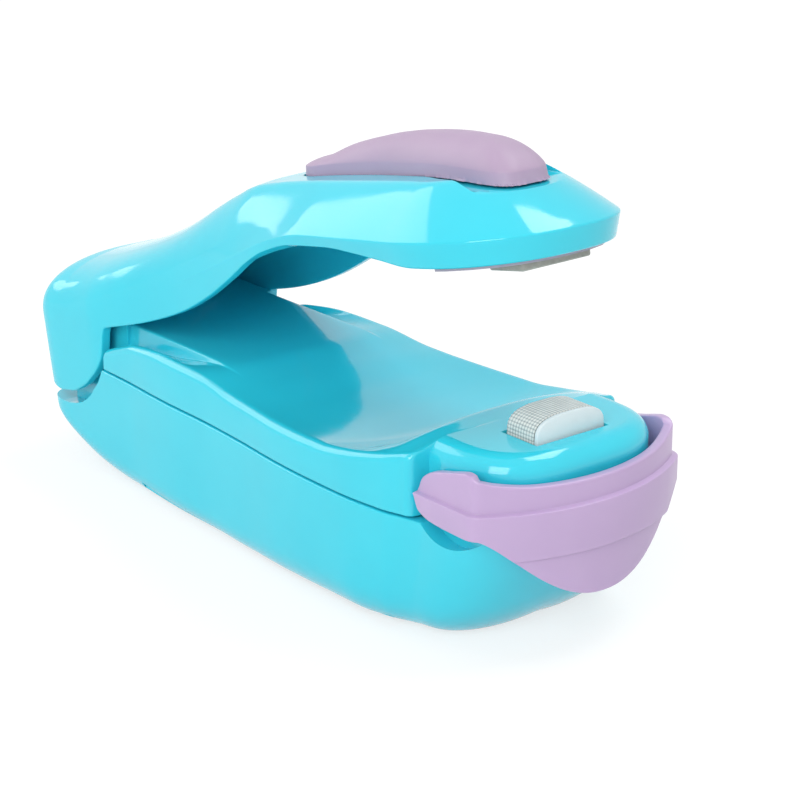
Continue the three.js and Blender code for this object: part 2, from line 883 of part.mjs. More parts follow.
function makeDeckShell() {
  const { side, shoulder, nose } = deckOutline();
  const half = sweep([
    ...side.map((edge) => deckSection(edge, false, railFillet)),
    ...shoulder.map((edge) => deckSection(edge, false, railFillet)),
    ...nose.map((edge) => deckSection(edge, true, noseFillet)),
  ]);
  const postProfile = new THREE.Shape();
  postProfile.moveTo(deckRearX + wall, headCutZ);
  postProfile.lineTo(deckRearX + wall, plateauZ);
  postProfile.lineTo(hingeX + postRadius, plateauZ);
  postProfile.absarc(hingeX, hingeZ, postRadius, Math.asin((plateauZ - hingeZ) / postRadius), Math.PI, false);
  postProfile.lineTo(hingeX - postRadius, headCutZ);
  const hingeBlock = slabY(postProfile, -postOuter, postOuter);
  const rearInnerX = deckRearX + wall;
  const rearHalf = baseWidthAt(deckRearX);
  const rearWall = box(deckRearX, rearInnerX, -plateauHalfWidth, plateauHalfWidth, headCutZ, plateauZ - gap);
  const rearSides = box(deckRearX, rearInnerX, -rearHalf, rearHalf, headCutZ, railAt(deckRearX) - wall / 2);
  const roofAt = (x) => valleyAt(x) - wall / 2;
  const bosses = screwPlaces.map(([x, y]) => cylinderZ(bossRadius, bossSplitZ, roofAt(x), x, y));
  const guideX0 = heaterRearX - heaterFootMargin;
  const guideX1 = heaterFrontX + heaterFootMargin;
  const guideY = heaterFootHalf + gap + slotClearance;
  const guides = bothSides(
    box(guideX0, guideX1, -guideY - guideThickness, -guideY, carrierBottomZ, noseTopZ - wall / 2),
  );
  const slot = box(
    heaterRearX - slotClearance,
    heaterFrontX + slotClearance,
    -heaterHalfLength - slotClearance,
    heaterHalfLength + slotClearance,
    noseTopZ - noseFillet,
    noseTopZ + overrun,
  );
  const holes = screwPlaces.map(([x, y]) =>
    cylinderZ(screwRadius + gap, bossSplitZ - overrun, counterboreZ + screwLength + gap, x, y),
  );
  const pinHole = cylinderY(pinRadius + gap / 2, -halfWidth, halfWidth, hingeX, hingeZ);
  const pivotHoles = cylinderY(pivotRadius + gap, -halfWidth, halfWidth, pivotX, pivotZ);
  const pivotReach = overrun * 2;
  const noseInnerY = noseHalfWidth - wall - gap;
  const noseWalls = bothSides(
    box(pivotX - pivotReach, pivotX + pivotReach, -halfWidth, -noseInnerY, 0, closedHeight),
  );
  const nosePivotHoles = meet(pivotHoles, noseWalls);
  return cut(
    join(bothSides(half), hingeBlock, rearWall, rearSides, ...bosses, guides),
    slot,
    springPocket(),
    pinHole,
    nosePivotHoles,
    ...holes,
  );
}

// Plan of the closed arm's crease line, half of it, from the middle of the back to the tip
function armOutline(detail) {
  const rear = steps(Math.round(8 * detail)).map((t) => {
    const angle = (t * Math.PI) / 2;
    const x = mix(armRearRoundX, armRearX, Math.pow(Math.cos(angle), 2 / 5));
    return [x, armWidthAt(armRearRoundX) * Math.pow(Math.sin(angle), 2 / 5)];
  });
  const side = steps(Math.round(28 * detail))
    .slice(1, -1)
    .map((t) => {
      const x = mix(armRearRoundX, armFrontRoundX, t);
      return [x, armWidthAt(x)];
    });
  const front = steps(Math.round(12 * detail)).map((t) => {
    const angle = (t * Math.PI) / 2;
    const x = mix(armFrontRoundX, armFrontX, Math.pow(Math.sin(angle), 2 / 2.3));
    return [x, armWidthAt(armFrontRoundX) * Math.pow(Math.cos(angle), 2 / 2.3)];
  });
  return [...rear, ...side, ...front];
}

// Height of the sunk seat under the thumb pad, deeper towards its front
const seatAt = (x) => ridgeAt(x) - mix(recessDepth, recessFrontDepth, fade(x, recessStartX, recessEndX));

// Plan of the thumb pad, half of it, from the tip of its tail to its front
function thumbOutline() {
  const tail = steps(6).map((t) => {
    const angle = (t * Math.PI) / 2;
    return [mix(thumbTailX, thumbRearX, Math.cos(angle)), thumbWidthAt(thumbTailX) * Math.sin(angle)];
  });
  const side = steps(10)
    .slice(1, -1)
    .map((t) => {
      const x = mix(thumbTailX, thumbWideX, t);
      return [x, thumbWidthAt(x)];
    });
  const front = steps(9).map((t) => {
    const angle = (t * Math.PI) / 2;
    const x = mix(thumbWideX, thumbFrontX, Math.pow(Math.sin(angle), 2 / thumbSquareness));
    return [x, thumbHalfWidth * Math.pow(Math.cos(angle), 2 / thumbSquareness)];
  });
  return [...tail, ...side, ...front];
}

// Height of the closed arm's top at a share of the way from its middle line to its crease
function armTopHeight(x, middleX, share, width) {
  const ridge = ridgeAt(middleX);
  const crease = creaseAt(x);
  const round = dome(share, 2.3);
  const seat = clamp((halfWidth * headFlatShare) / Math.max(width, 1), 0, 0.8);
  const slope = share < seat ? 1 : 1 - Math.pow((share - seat) / (1 - seat), 1.18);
  return crease + (ridge - crease) * mix(round, slope, headBlendAt(x));
}

const topShares = [0, 0.3, 0.62, 0.76, 0.87, 0.94, 0.98, 1];

function armSection(edge, inset, drop) {
  const [x, y] = edge;
  const middle = clamp(x, armRearRoundX, armFrontRoundX);
  const reach = Math.hypot(x - middle, y);
  const place = (distance) => {
    const share = clamp(distance / reach, 0, 1);
    return [middle + (x - middle) * share, -y * share];
  };
  const width = reach - inset;
  const top = topShares.map((share) => {
    const [px, py] = place(width * share);
    return [px, py, armTopHeight(px, middle, share, reach) - drop];
  });
  return { place, width, top, reach };
}

// Height of the arm's lower edge at a plan place of its outline, cheeks apart
function armEdgeAt(x) {
  return mix(hoodEdgeShare * closedHeight, skirtAt(x), fade(x, hoodEdgeEndX, cheekCutX));
}

function armSolidHalf(inset, drop, below, detail) {
  return sweep(
    armOutline(detail).map((edge) => {
      const { place, width, top } = armSection(edge, inset, drop);
      const headShare = fade(edge[0], 0, armFrontRoundX);
      const [ex, ey] = place(width - headEdgeInset * headShare);
      const low = Math.min(armEdgeAt(edge[0]), top[top.length - 1][2] - gap) - below;
      return [...top, [ex, ey, low], [clamp(edge[0], armRearRoundX, armFrontRoundX), 0, low]];
    }),
  );
}

// Side view that the arm is cut to: the skirt's rear part, the cheeks and the edge of the back
function armProfile() {
  const shape = new THREE.Shape();
  const cheek = cheekShares.map(([x, z]) => new THREE.Vector2(x * bodyLength, z * closedHeight));
  shape.moveTo(armFrontX + overrun, 0);
  shape.lineTo(cheekCutX, 0);
  steps(9).forEach((t) => {
    const x = mix(cheekCutX, cheek[0].x + gap, t);
    shape.lineTo(x, skirtAt(x));
  });
  shape.lineTo(cheek[0].x, cheek[0].y);
  shape.splineThru(cheek.slice(1));
  shape.lineTo(armRearX - overrun, cheek[cheek.length - 1].y);
  shape.lineTo(armRearX - overrun, closedHeight + overrun);
  shape.lineTo(armFrontX + overrun, closedHeight + overrun);
  return shape;
}

function makeArmShell() {
  const outer = bothSides(armSolidHalf(0, 0, 0, 1));
  const inner = bothSides(armSolidHalf(armWall, armWall, overrun, 0.5));
  const hood = cut(meet(outer, slabY(armProfile(), -halfWidth, halfWidth, 3)), inner);
  const cheekInner = armWidthAt(hingeX) - armWall;
  const bosses = bothSides(
    cylinderY(pinRadius + wall, -cheekInner - armWall / 2, -postOuter - gap * 1.5, hingeX, hingeZ),
  );
  const socketHalf = pinHalfLength + gap;
  const pinSockets = cylinderY(pinRadius + gap / 2, -socketHalf, socketHalf, hingeX, hingeZ);
  const roof = (x) => ridgeAt(x) - armWall / 2;
  const screwBosses = bothSides(
    cylinderZ(bossRadius - gap, carrierPlateTopZ + gap, roof(padScrewX), padScrewX, -padScrewY),
  );
  const screwTopZ = carrierPlateZ + carrierRecess + padScrewLength + gap;
  const screwHoles = bothSides(cylinderZ(screwRadius + gap / 2, 0, screwTopZ, padScrewX, -padScrewY, 12));
  const stopHalf = padHalfLength - padFlange;
  const stopRearX = padRearX + padFlange;
  const stopFrontX = padFrontX - padFlange;
  const padStop = box(stopRearX, stopFrontX, -stopHalf, stopHalf, padTopZ + gap, roof(padFrontX));
  const studHoles = studPlaces().map((x) => {
    return cylinderZ(studRadius + gap, closedHeight / 2, closedHeight, x, 0, 16);
  });
  return cut(join(hood, bosses, screwBosses, padStop), pinSockets, screwHoles, thumbRecess(), ...studHoles);
}

const studPlaces = () => [mix(thumbTailX, thumbWideX, 0.25), mix(thumbTailX, thumbWideX, 0.8)];

// The sunk seat that the thumb pad's front lies in
function thumbRecess() {
  const half = sweep(
    thumbOutline().map(([x, y]) => {
      const middle = clamp(x, thumbTailX, thumbWideX);
      const reach = Math.hypot(x - middle, y);
      const grown = 1 + gap / reach + recessGrowthShare * fade(x, recessStartX, recessEndX);
      const px = middle + (x - middle) * grown;
      const top = closedHeight + overrun;
      return [
        [middle, 0, seatAt(middle)],
        [px, -y * grown, seatAt(px)],
        [px, -y * grown, top],
        [middle, 0, top],
      ];
    }),
  );
  return bothSides(half);
}

function makeThumbPad() {
  const half = sweep(
    thumbOutline().map(([x, y]) => {
      const middle = clamp(x, thumbTailX, thumbWideX);
      const at = (share) => {
        const px = middle + (x - middle) * share;
        return [px, -y * share, seatAt(px) + padBaseDrop];
      };
      const domed = [0, 0.35, 0.62, 0.82, 0.94, 1].map((share) => {
        const [px, py, base] = at(share * 0.985);
        const edge = base + mix(thumbTailWall, thumbWallHeight, fade(px, thumbRearX, wallStartX));
        const crown = Math.max(edge, crownAt(px));
        return [px, py, edge + (crown - edge) * Math.pow(1 - Math.pow(share, 2.2), 0.85)];
      });
      return [...domed, at(1), at(0)];
    }),
  );
  const studs = studPlaces().map((x) => {
    return cylinderZ(studRadius, ridgeAt(x) - studLength, ridgeAt(x) + wall, x, 0, 16);
  });
  return join(bothSides(half), ...studs);
}

function makePadCarrier() {
  const slab = join(
    box(carrierRimX, armFrontX, -halfWidth, halfWidth, carrierPlateZ, carrierPlateTopZ),
    box(carrierPlateRearX, armFrontX, -halfWidth, halfWidth, carrierPlateZ + carrierRecess, carrierPlateTopZ),
  );
  const plate = meet(bothSides(armSolidHalf(carrierPlateMargin, armWall, closedHeight / 4, 0.6)), slab);
  const holeHalf = padHalfLength + gap;
  const hole = box(padRearX - gap, padFrontX + gap, -holeHalf, holeHalf, 0, closedHeight);
  const screwHoles = bothSides(cylinderZ(screwRadius + gap, 0, closedHeight, padScrewX, -padScrewY, 12));
  return cut(plate, hole, screwHoles);
}

function makePressurePad() {
  const block = box(padRearX, padFrontX, -padHalfLength, padHalfLength, heaterTopZ + gap, padTopZ);
  const flange = box(
    padRearX - padFlange,
    padFrontX + padFlange,
    -padHalfLength - padFlange,
    padHalfLength + padFlange,
    padFlangeZ,
    padTopZ,
  );
  return join(block, flange);
}

// A point on the guard's plan curve, moved in from its outer face
function guardPlace(angle, inset) {
  const reachX = guardOuterX - guardRoundStartX - inset;
  const reachY = guardHalfWidth - inset;
  const cosine = Math.pow(Math.max(0, Math.cos(angle)), 2 / guardSquareness);
  const sine = Math.pow(Math.max(0, Math.sin(angle)), 2 / guardSquareness);
  return [guardRoundStartX + reachX * cosine, -reachY * sine];
}

function guardSection(x, angle) {
  const at = (inset) => (angle === undefined ? [x, inset - guardHalfWidth] : guardPlace(angle, inset));
  const [px, py] = at(0);
  const across = Math.min(1, -py / guardSpoonHalfWidth);
  const fall = Math.sqrt(Math.max(0, 1 - across * across));
  const spoon = mix(guardBottomAt(px), guardTongueZ, fall);
  const top = guardTopAt(px);
  const bottom = Math.min(spoon, guardBottomAt(px));
  const bandTop = clamp(guardBandTopZ, bottom + gap / 3, top - gap / 3);
  const bandBottom = clamp(guardBandBottomZ, bottom + gap / 6, bandTop - gap / 6);
  const lipTop = Math.min(bandTop + guardLipHeight, top - gap / 9);
  const lipBottom = Math.max(bandBottom - guardLipHeight, bottom + gap / 9);
  const corners = [
    [guardSpoonInset, bottom],
    [guardSpoonInset, lipBottom],
    [0, bandBottom],
    [0, bandTop],
    [guardRimInset, lipTop],
    [guardRimInset, top],
    [guardRimInset + guardWall, top],
    [guardSpoonInset + guardWall, bottom],
  ];
  return corners.map(([inset, z]) => {
    const [qx, qy] = at(inset);
    return [qx, qy, z];
  });
}

function makeLockGuard() {
  const lug = steps(7)
    .slice(0, -1)
    .map((t) => guardSection(mix(lugRearX, guardRoundStartX, t * t)));
  const front = steps(24).map((t) => guardSection(0, ((1 - t) * Math.PI) / 2));
  const half = sweep([...lug, ...front]);
  const pivotInner = noseHalfWidth - wall;
  const lugInner = guardHalfWidth - guardRimInset - guardWall;
  const washer = cylinderY(washerRadius, -lugInner - gap, -noseHalfWidth - gap, pivotX, pivotZ, 20);
  const stub = cylinderY(pivotRadius, -lugInner - gap, -pivotInner, pivotX, pivotZ, 24);
  return join(bothSides(half), bothSides(join(washer, stub)));
}

// The heater's arched outline in front view, moved in by an inset
function archShape(inset) {
  const shape = new THREE.Shape();
  const base = heaterTopZ - heaterArch;
  const half = heaterHalfLength - inset;
  const rise = heaterArch - inset;
  shape.moveTo(-half, heaterFootTopZ - gap);
  steps(20).forEach((t) => {
    const angle = Math.PI * (1 - t);
    const side = Math.sign(Math.cos(angle)) * Math.pow(Math.abs(Math.cos(angle)), 2 / 3);
    shape.lineTo(half * side, base + rise * Math.pow(Math.abs(Math.sin(angle)), 2 / 3));
  });
  shape.lineTo(half, heaterFootTopZ - gap);
  return shape;
}

// An arch in front view carried from x0 to x1
function archSolid(inset, x0, x1) {
  const geometry = new THREE.ExtrudeGeometry(archShape(inset), { depth: x1 - x0, bevelEnabled: false });
  geometry.rotateX(Math.PI / 2);
  geometry.rotateZ(Math.PI / 2);
  geometry.translate(x0, 0, 0);
  return toSolid(geometry);
}

const ribbonInset = clothThickness + layerGap;
const blockInset = ribbonInset + ribbonThickness + layerGap;
const clothFrontX = heaterFrontX - lipThickness - layerGap;

function makeHeaterBlock() {
  const foot = box(
    heaterRearX - heaterFootMargin,
    heaterFrontX + heaterFootMargin,
    -heaterFootHalf,
    heaterFootHalf,
    heaterFootZ,
    heaterFootTopZ,
  );
  const head = archSolid(blockInset, heaterRearX + ribbonInset, heaterFrontX);
  const lip = archSolid(0, heaterFrontX - lipThickness, heaterFrontX);
  const groove = cylinderX(
    rockerRadius + gap,
    heaterRearX - overrun,
    heaterFrontX + overrun,
    0,
    carrierTopZ,
    24,
  );
  return cut(join(foot, head, lip), groove);
}

function makeRibbon() {
  const middle = (heaterRearX + clothFrontX) / 2;
  const width = wall;
  return cut(
    archSolid(ribbonInset, middle - width / 2, middle + width / 2),
    archSolid(ribbonInset + ribbonThickness, middle - width, middle + width),
    box(heaterRearX, heaterFrontX, -halfWidth, halfWidth, 0, heaterFootTopZ + gap),
  );
}

function makeCloth() {
  return cut(
    archSolid(0, heaterRearX, clothFrontX),
    archSolid(clothThickness, heaterRearX + clothThickness, clothFrontX + overrun),
    box(heaterRearX - overrun, heaterFrontX, -halfWidth, halfWidth, 0, heaterFootTopZ + gap),
  );
}

function makeHeaterCarrier() {
  const x0 = heaterRearX - heaterFootMargin;
  const x1 = heaterFrontX - carrierFrontInset;
  const block = box(x0, x1, -heaterFootHalf, heaterFootHalf, carrierBottomZ, carrierTopZ);
  const rocker = cylinderX(rockerRadius, x0, x1, 0, carrierTopZ, 24);
  const cupRadius = heaterSpringRadius + gap * 2;
  const cups = bothSides(
    cylinderZ(cupRadius, carrierBottomZ - overrun, carrierBottomZ + overrun, heaterSpringX, -heaterSpringY),
  );
  const slotTop = carrierBottomZ + contactStripThickness + gap * 2;
  const stripSlot = box(x0 - overrun, x1 + overrun, -contactStripWidth, contactStripWidth, 0, slotTop);
  return cut(join(block, rocker), cups, stripSlot);
}

function makeMovingContact() {
  const halfX = (contactPitch + contactTipWidth) / 2;
  const halfY = contactStripWidth / 2;
  const top = carrierBottomZ + contactStripThickness + gap;
  return box(contactX - halfX, contactX + halfX, -halfY, halfY, top - contactStripThickness, top);
}

function makeFixedContact(side) {
  const x = contactX + (side * contactPitch) / 2;
  const footZ = seatZ + gap;
  const half = contactTipWidth / 2;
  const footTopZ = footZ + contactStripThickness;
  const postTopZ = carrierBottomZ + gap - pressTravel - gap / 3;
  const foot = box(x - half, x + half, -contactStripWidth, contactStripWidth, footZ, footTopZ);
  const post = box(x - half / 2, x + half / 2, -half, half, footZ, postTopZ);
  return join(foot, post);
}

// A compression or battery spring: one unbroken wire, its turns at an even pitch
function coil(radius, wireRadius, turns, length, stepsPerTurn, sides) {
  const points = steps(turns * stepsPerTurn).map((t) => {
    const angle = t * turns * 2 * Math.PI;
    return new THREE.Vector3(radius * Math.cos(angle), radius * Math.sin(angle), t * length);
  });
  return tube(points, wireRadius, sides);
}

// A closed tube of few sides through every point of a path
function tube(path, radius, sides) {
  const last = path.length - 1;
  let normal = new THREE.Vector3();
  const sections = path.map((point, i) => {
    const along = path[Math.min(i + 1, last)].clone().sub(path[Math.max(i - 1, 0)]).normalize();
    if (i === 0) normal = new THREE.Vector3(along.y, along.z, along.x).cross(along).normalize();
    normal = normal.clone().sub(along.clone().multiplyScalar(normal.dot(along))).normalize();
    const side = along.clone().cross(normal);
    return Array.from({ length: sides }, (_, k) => {
      const angle = (k / sides) * 2 * Math.PI;
      return point
        .clone()
        .addScaledVector(normal, radius * Math.cos(angle))
        .addScaledVector(side, radius * Math.sin(angle));
    });
  });
  const points = [];
  const push = (...corners) => corners.forEach((p) => points.push(p.x, p.y, p.z));
  sections.slice(1).forEach((next, i) => {
    const here = sections[i];
    here.forEach((corner, k) => {
      const j = (k + 1) % sides;
      push(corner, here[j], next[j], corner, next[j], next[k]);
    });
  });
  [sections[0], [...sections[last]].reverse()].forEach((ring, end) => {
    const centre = path[end === 0 ? 0 : last];
    ring.forEach((corner, k) => push(centre, ring[(k + 1) % sides], corner));
  });
  const geometry = new THREE.BufferGeometry();
  geometry.setAttribute("position", new THREE.Float32BufferAttribute(points, 3));
  return toSolid(geometry);
}

function makeHeaterSpring(side) {
  const footZ = seatZ + gap + heaterSpringWire / 2;
  const length = carrierBottomZ + overrun - gap - heaterSpringWire / 2 - footZ;
  const body = coil(heaterSpringRadius, heaterSpringWire / 2, heaterSpringTurns, length, 8, 5);
  return body.translate([heaterSpringX, side * heaterSpringY, footZ]);
}

// Torsion spring: turns round the pin, with one leg on the deck and one under the arm's roof
function makeArmSpring() {
  const stepsPerTurn = 10;
  const count = armSpringTurns * stepsPerTurn + stepsPerTurn / 3;
  const legLength = armSpringRadius * 2.6;
  const halfSpan = (armSpringTurns * armSpringPitch) / 2;
  const turn = Array.from({ length: count + 1 }, (_, i) => {
    const angle = -Math.PI / 2 + (i / stepsPerTurn) * 2 * Math.PI;
    return new THREE.Vector3(
      hingeX + armSpringRadius * Math.cos(angle),
      mix(-halfSpan, halfSpan, i / count),
      hingeZ + armSpringRadius * Math.sin(angle),
    );
  });
  const first = turn[0];
  const last = turn[turn.length - 1];
  const endAngle = -Math.PI / 2 + (count / stepsPerTurn) * 2 * Math.PI;
  const heading = new THREE.Vector3(-Math.sin(endAngle), 0, Math.cos(endAngle));
  const lowLeg = [1, 0.5].map((t) => new THREE.Vector3(first.x - legLength * 0.5 * t, first.y, first.z));
  const highLeg = [0.5, 1].map((t) => last.clone().addScaledVector(heading, legLength * t));
  return tube([...lowLeg, ...turn, ...highLeg], armSpringWire / 2, 6);
}

function makeHingePin() {
  return cylinderY(pinRadius, -pinHalfLength, pinHalfLength, hingeX, hingeZ, 24);
}

// An AA cell along X: a can, with its raised plus end towards +X
function makeCell(direction) {
  const profile = [
    [0, 0],
    [cellRadius - gap, 0],
    [cellRadius, gap],
    [cellRadius, cellLength - gap],
    [cellRadius - gap, cellLength],
    [cellNubRadius, cellLength],
    [cellNubRadius, cellLength + cellNubHeight],
    [0, cellLength + cellNubHeight],
  ].map(([r, h]) => new THREE.Vector2(r, h));
  const geometry = new THREE.LatheGeometry(profile, 20);
  geometry.rotateZ((-direction * Math.PI) / 2);
  const end = direction > 0 ? bayFrontX - gap : bayRearX + gap;
  const start = end - direction * (cellLength + cellNubHeight);
  geometry.translate(start, (-direction * cellPitch) / 2, cellAxisZ);
  return toSolid(geometry);
}

function makeContactPlate(x0, y0, y1) {
  return box(x0, x0 + contactThickness, y0, y1, contactBottomZ, contactTopZ);
}

// Spring between a cell's flat end and its contact plate
function makeBatterySpring(direction) {
  const plateX = direction > 0 ? bayRearX : bayFrontX;
  const length = batterySpringRoom - gap * 3 - batterySpringWire;
  const body = coil(batterySpringRadius, batterySpringWire / 2, batterySpringTurns, length, 8, 5);
  return body
    .rotate([0, direction * 90, 0])
    .translate([plateX + direction * (gap + batterySpringWire / 2), (-direction * cellPitch) / 2, cellAxisZ]);
}

// Door in the underside, with two hooks at its rear edge that lie on the case's floor
function makeBatteryDoor() {
  const outer = bothSides(shellHalf(0, 0, partingHeight, 1));
  const slab = box(-bodyLength, bodyLength, -bodyWidth, bodyWidth, doorRecess, doorTopZ);
  const plate = meet(meet(outer, doorBlank(0, doorTopZ)), slab);
  const hookZ = doorTopZ + gap * 1.5;
  const hookX = doorRearX - doorGap - bayRibThickness / 2;
  const hookTopZ = hookZ + hookThickness;
  const neck = box(doorRearX, doorRearX + wall, -hookOuterY, -hookInnerY, doorTopZ - gap, hookTopZ);
  const tongue = box(hookX, doorRearX + wall, -hookOuterY, -hookInnerY, hookZ, hookTopZ);
  return cut(join(plate, bothSides(join(neck, tongue))), cellSpace(cellRadius + cellClearance));
}

// A self-tapping screw pointing up: a pan head and a plain shank
function makeScrew(x, y, headZ, length, headHeight) {
  const profile = [
    [0, 0],
    [screwHeadRadius * 0.8, 0],
    [screwHeadRadius, headHeight * 0.4],
    [screwHeadRadius, headHeight],
    [screwRadius, headHeight],
    [screwRadius, length - screwRadius],
    [screwRadius * 0.3, length],
    [0, length],
  ].map(([r, h]) => new THREE.Vector2(r, h));
  const geometry = new THREE.LatheGeometry(profile, 10);
  geometry.rotateX(Math.PI / 2);
  geometry.translate(x, y, headZ);
  return toSolid(geometry);
}

const leadRadius = 0.6;

function makeLead(points) {
  return wire(points, leadRadius, 8, 14);
}

// From the plus contact to the switch
function makeBatteryLead() {
  const startX = bayFrontX + contactThickness + gap + leadRadius;
  const height = bayRibZ + gap + leadRadius;
  const endX = contactX - contactPitch / 2 - contactTipWidth / 2 - gap;
  return makeLead([
    [startX, contactHalfWidth - cellPitch / 2 - overrun, height],
    [frontScrewX - bossRadius, -leadRadius * 2, height],
    [frontScrewX, 0, height],
    [endX, 0, seatZ + gap * 2 + leadRadius],
  ]);
}

// From the minus contact up to the rear of the heater
function makeHeaterLead() {
  const startX = bayFrontX + contactThickness + gap + leadRadius;
  const height = bayRibZ + gap + leadRadius;
  const endX = heaterRearX - heaterFootMargin - leadRadius;
  return makeLead([
    [startX, cellPitch / 2 - contactHalfWidth + overrun, height],
    [frontScrewX - bossRadius, leadRadius * 3, height + overrun],
    [frontScrewX, leadRadius * 3, mix(height, heaterFootZ, 0.7)],
    [endX, leadRadius * 3, heaterFootZ + leadRadius * 2],
  ]);
}

const cyanPlastic = () => new THREE.MeshStandardMaterial({ color: cyan, roughness: 0.25, metalness: 0 });
const lilacPlastic = () => new THREE.MeshStandardMaterial({ color: lilac, roughness: 0.35, metalness: 0 });
const steel = () => new THREE.MeshStandardMaterial({ color: 0xb8bcc0, roughness: 0.35, metalness: 1 });
const brass = () => new THREE.MeshStandardMaterial({ color: 0xc9a25a, roughness: 0.4, metalness: 1 });
const white = () => new THREE.MeshStandardMaterial({ color: 0xdfe9ea, roughness: 0.5, metalness: 0 });
const cloth = () => new THREE.MeshStandardMaterial({ color: 0xc9cfcc, roughness: 0.85, metalness: 0 });
const silicone = () => new THREE.MeshStandardMaterial({ color: 0x9ea59e, roughness: 0.7, metalness: 0 });
const greyPlastic = () => new THREE.MeshStandardMaterial({ color: 0xa79fb2, roughness: 0.5, metalness: 0 });
const cellWrap = () => new THREE.MeshStandardMaterial({ color: 0x3f4a52, roughness: 0.4, metalness: 0.3 });
const redSleeve = () => new THREE.MeshStandardMaterial({ color: 0xb83232, roughness: 0.6, metalness: 0 });

const part = new THREE.Group();
const sealer = new THREE.Group();
const arm = new THREE.Group();
sealer.position.x = middleShift;
arm.position.set(hingeX, 0, hingeZ);
arm.rotation.y = -radians(openAngleDegrees);
sealer.add(arm);
part.add(sealer);

function add(group, name, body, material) {
  const mesh = new THREE.Mesh(toGeometry(body), material);
  mesh.name = name;
  if (group === arm) mesh.position.set(-hingeX, 0, -hingeZ);
  group.add(mesh);
}

add(sealer, "lower_shell", makeLowerShell(), cyanPlastic());
add(sealer, "deck_shell", makeDeckShell(), cyanPlastic());
add(sealer, "hinge_pin", makeHingePin(), steel());
add(sealer, "arm_spring", makeArmSpring(), steel());
add(sealer, "battery_door", makeBatteryDoor(), cyanPlastic());
add(sealer, "battery_cell_1", makeCell(1), cellWrap());
add(sealer, "battery_cell_2", makeCell(-1), cellWrap());
const bridgeX = bayRearX - contactThickness;
add(sealer, "contact_bridge", makeContactPlate(bridgeX, -contactOuterY, contactOuterY), brass());
add(sealer, "contact_plus", makeContactPlate(bayFrontX, -contactOuterY, -contactInnerY), brass());
add(sealer, "contact_minus", makeContactPlate(bayFrontX, contactInnerY, contactOuterY), brass());
add(sealer, "contact_spring_1", makeBatterySpring(1), steel());
add(sealer, "contact_spring_2", makeBatterySpring(-1), steel());
screwPlaces.forEach(([x, y], i) => {
  const headZ = counterboreZ - screwHeadHeight - gap;
  add(sealer, `case_screw_${i + 1}`, makeScrew(x, y, headZ, screwLength, screwHeadHeight), steel());
});
add(sealer, "switch_contact_fixed_1", makeFixedContact(-1), brass());
add(sealer, "switch_contact_fixed_2", makeFixedContact(1), brass());
add(sealer, "heater_spring_1", makeHeaterSpring(-1), steel());
add(sealer, "heater_spring_2", makeHeaterSpring(1), steel());
add(sealer, "lead_battery", makeBatteryLead(), redSleeve());
add(sealer, "lead_heater", makeHeaterLead(), redSleeve());
add(sealer, "lock_guard", makeLockGuard(), lilacPlastic());
add(sealer, "heater_carrier", makeHeaterCarrier(), greyPlastic());
add(sealer, "switch_contact_moving", makeMovingContact(), brass());
add(sealer, "heater_block", makeHeaterBlock(), white());
add(sealer, "heating_ribbon", makeRibbon(), steel());
add(sealer, "glass_cloth", makeCloth(), cloth());
add(arm, "arm_shell", makeArmShell(), cyanPlastic());
add(arm, "thumb_pad", makeThumbPad(), lilacPlastic());
add(arm, "pad_carrier", makePadCarrier(), greyPlastic());
add(arm, "pressure_pad", makePressurePad(), silicone());
[-padScrewY, padScrewY].forEach((y, i) => {
  const headZ = carrierPlateZ + carrierRecess - gap - padScrewHead;
  add(arm, `pad_screw_${i + 1}`, makeScrew(padScrewX, y, headZ, padScrewLength, padScrewHead), steel());
});

export default part;
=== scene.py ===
# The looks of a pocket heat sealer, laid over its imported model. Metres, +Z up, nose towards +X.
# Shapes are worked out in millimetres with the arm closed, then placed by atRest or atOpen.
import math

import bmesh
import bpy
import numpy as np
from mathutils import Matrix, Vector


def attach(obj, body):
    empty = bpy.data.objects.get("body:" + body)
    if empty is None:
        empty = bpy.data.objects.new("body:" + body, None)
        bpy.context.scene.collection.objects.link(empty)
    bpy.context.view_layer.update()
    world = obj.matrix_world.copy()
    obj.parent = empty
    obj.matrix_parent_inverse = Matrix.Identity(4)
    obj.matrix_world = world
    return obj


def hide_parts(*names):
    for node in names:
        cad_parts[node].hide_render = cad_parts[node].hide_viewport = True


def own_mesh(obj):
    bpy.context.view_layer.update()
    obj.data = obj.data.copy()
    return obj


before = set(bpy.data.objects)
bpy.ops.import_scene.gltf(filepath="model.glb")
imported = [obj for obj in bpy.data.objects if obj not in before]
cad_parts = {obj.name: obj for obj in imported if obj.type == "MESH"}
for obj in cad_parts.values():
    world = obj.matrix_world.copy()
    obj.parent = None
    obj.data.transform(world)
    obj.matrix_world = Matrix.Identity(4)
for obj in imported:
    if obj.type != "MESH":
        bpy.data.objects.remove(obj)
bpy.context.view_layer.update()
print("frame loaded:", len(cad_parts), "nodes")


def mix(a, b, t):
    return a + (b - a) * t


def fade(x, start, end):  # 0 before start, 1 after end, smooth between
    t = np.clip((x - start) / (end - start), 0, 1)
    return t * t * (3 - 2 * t)


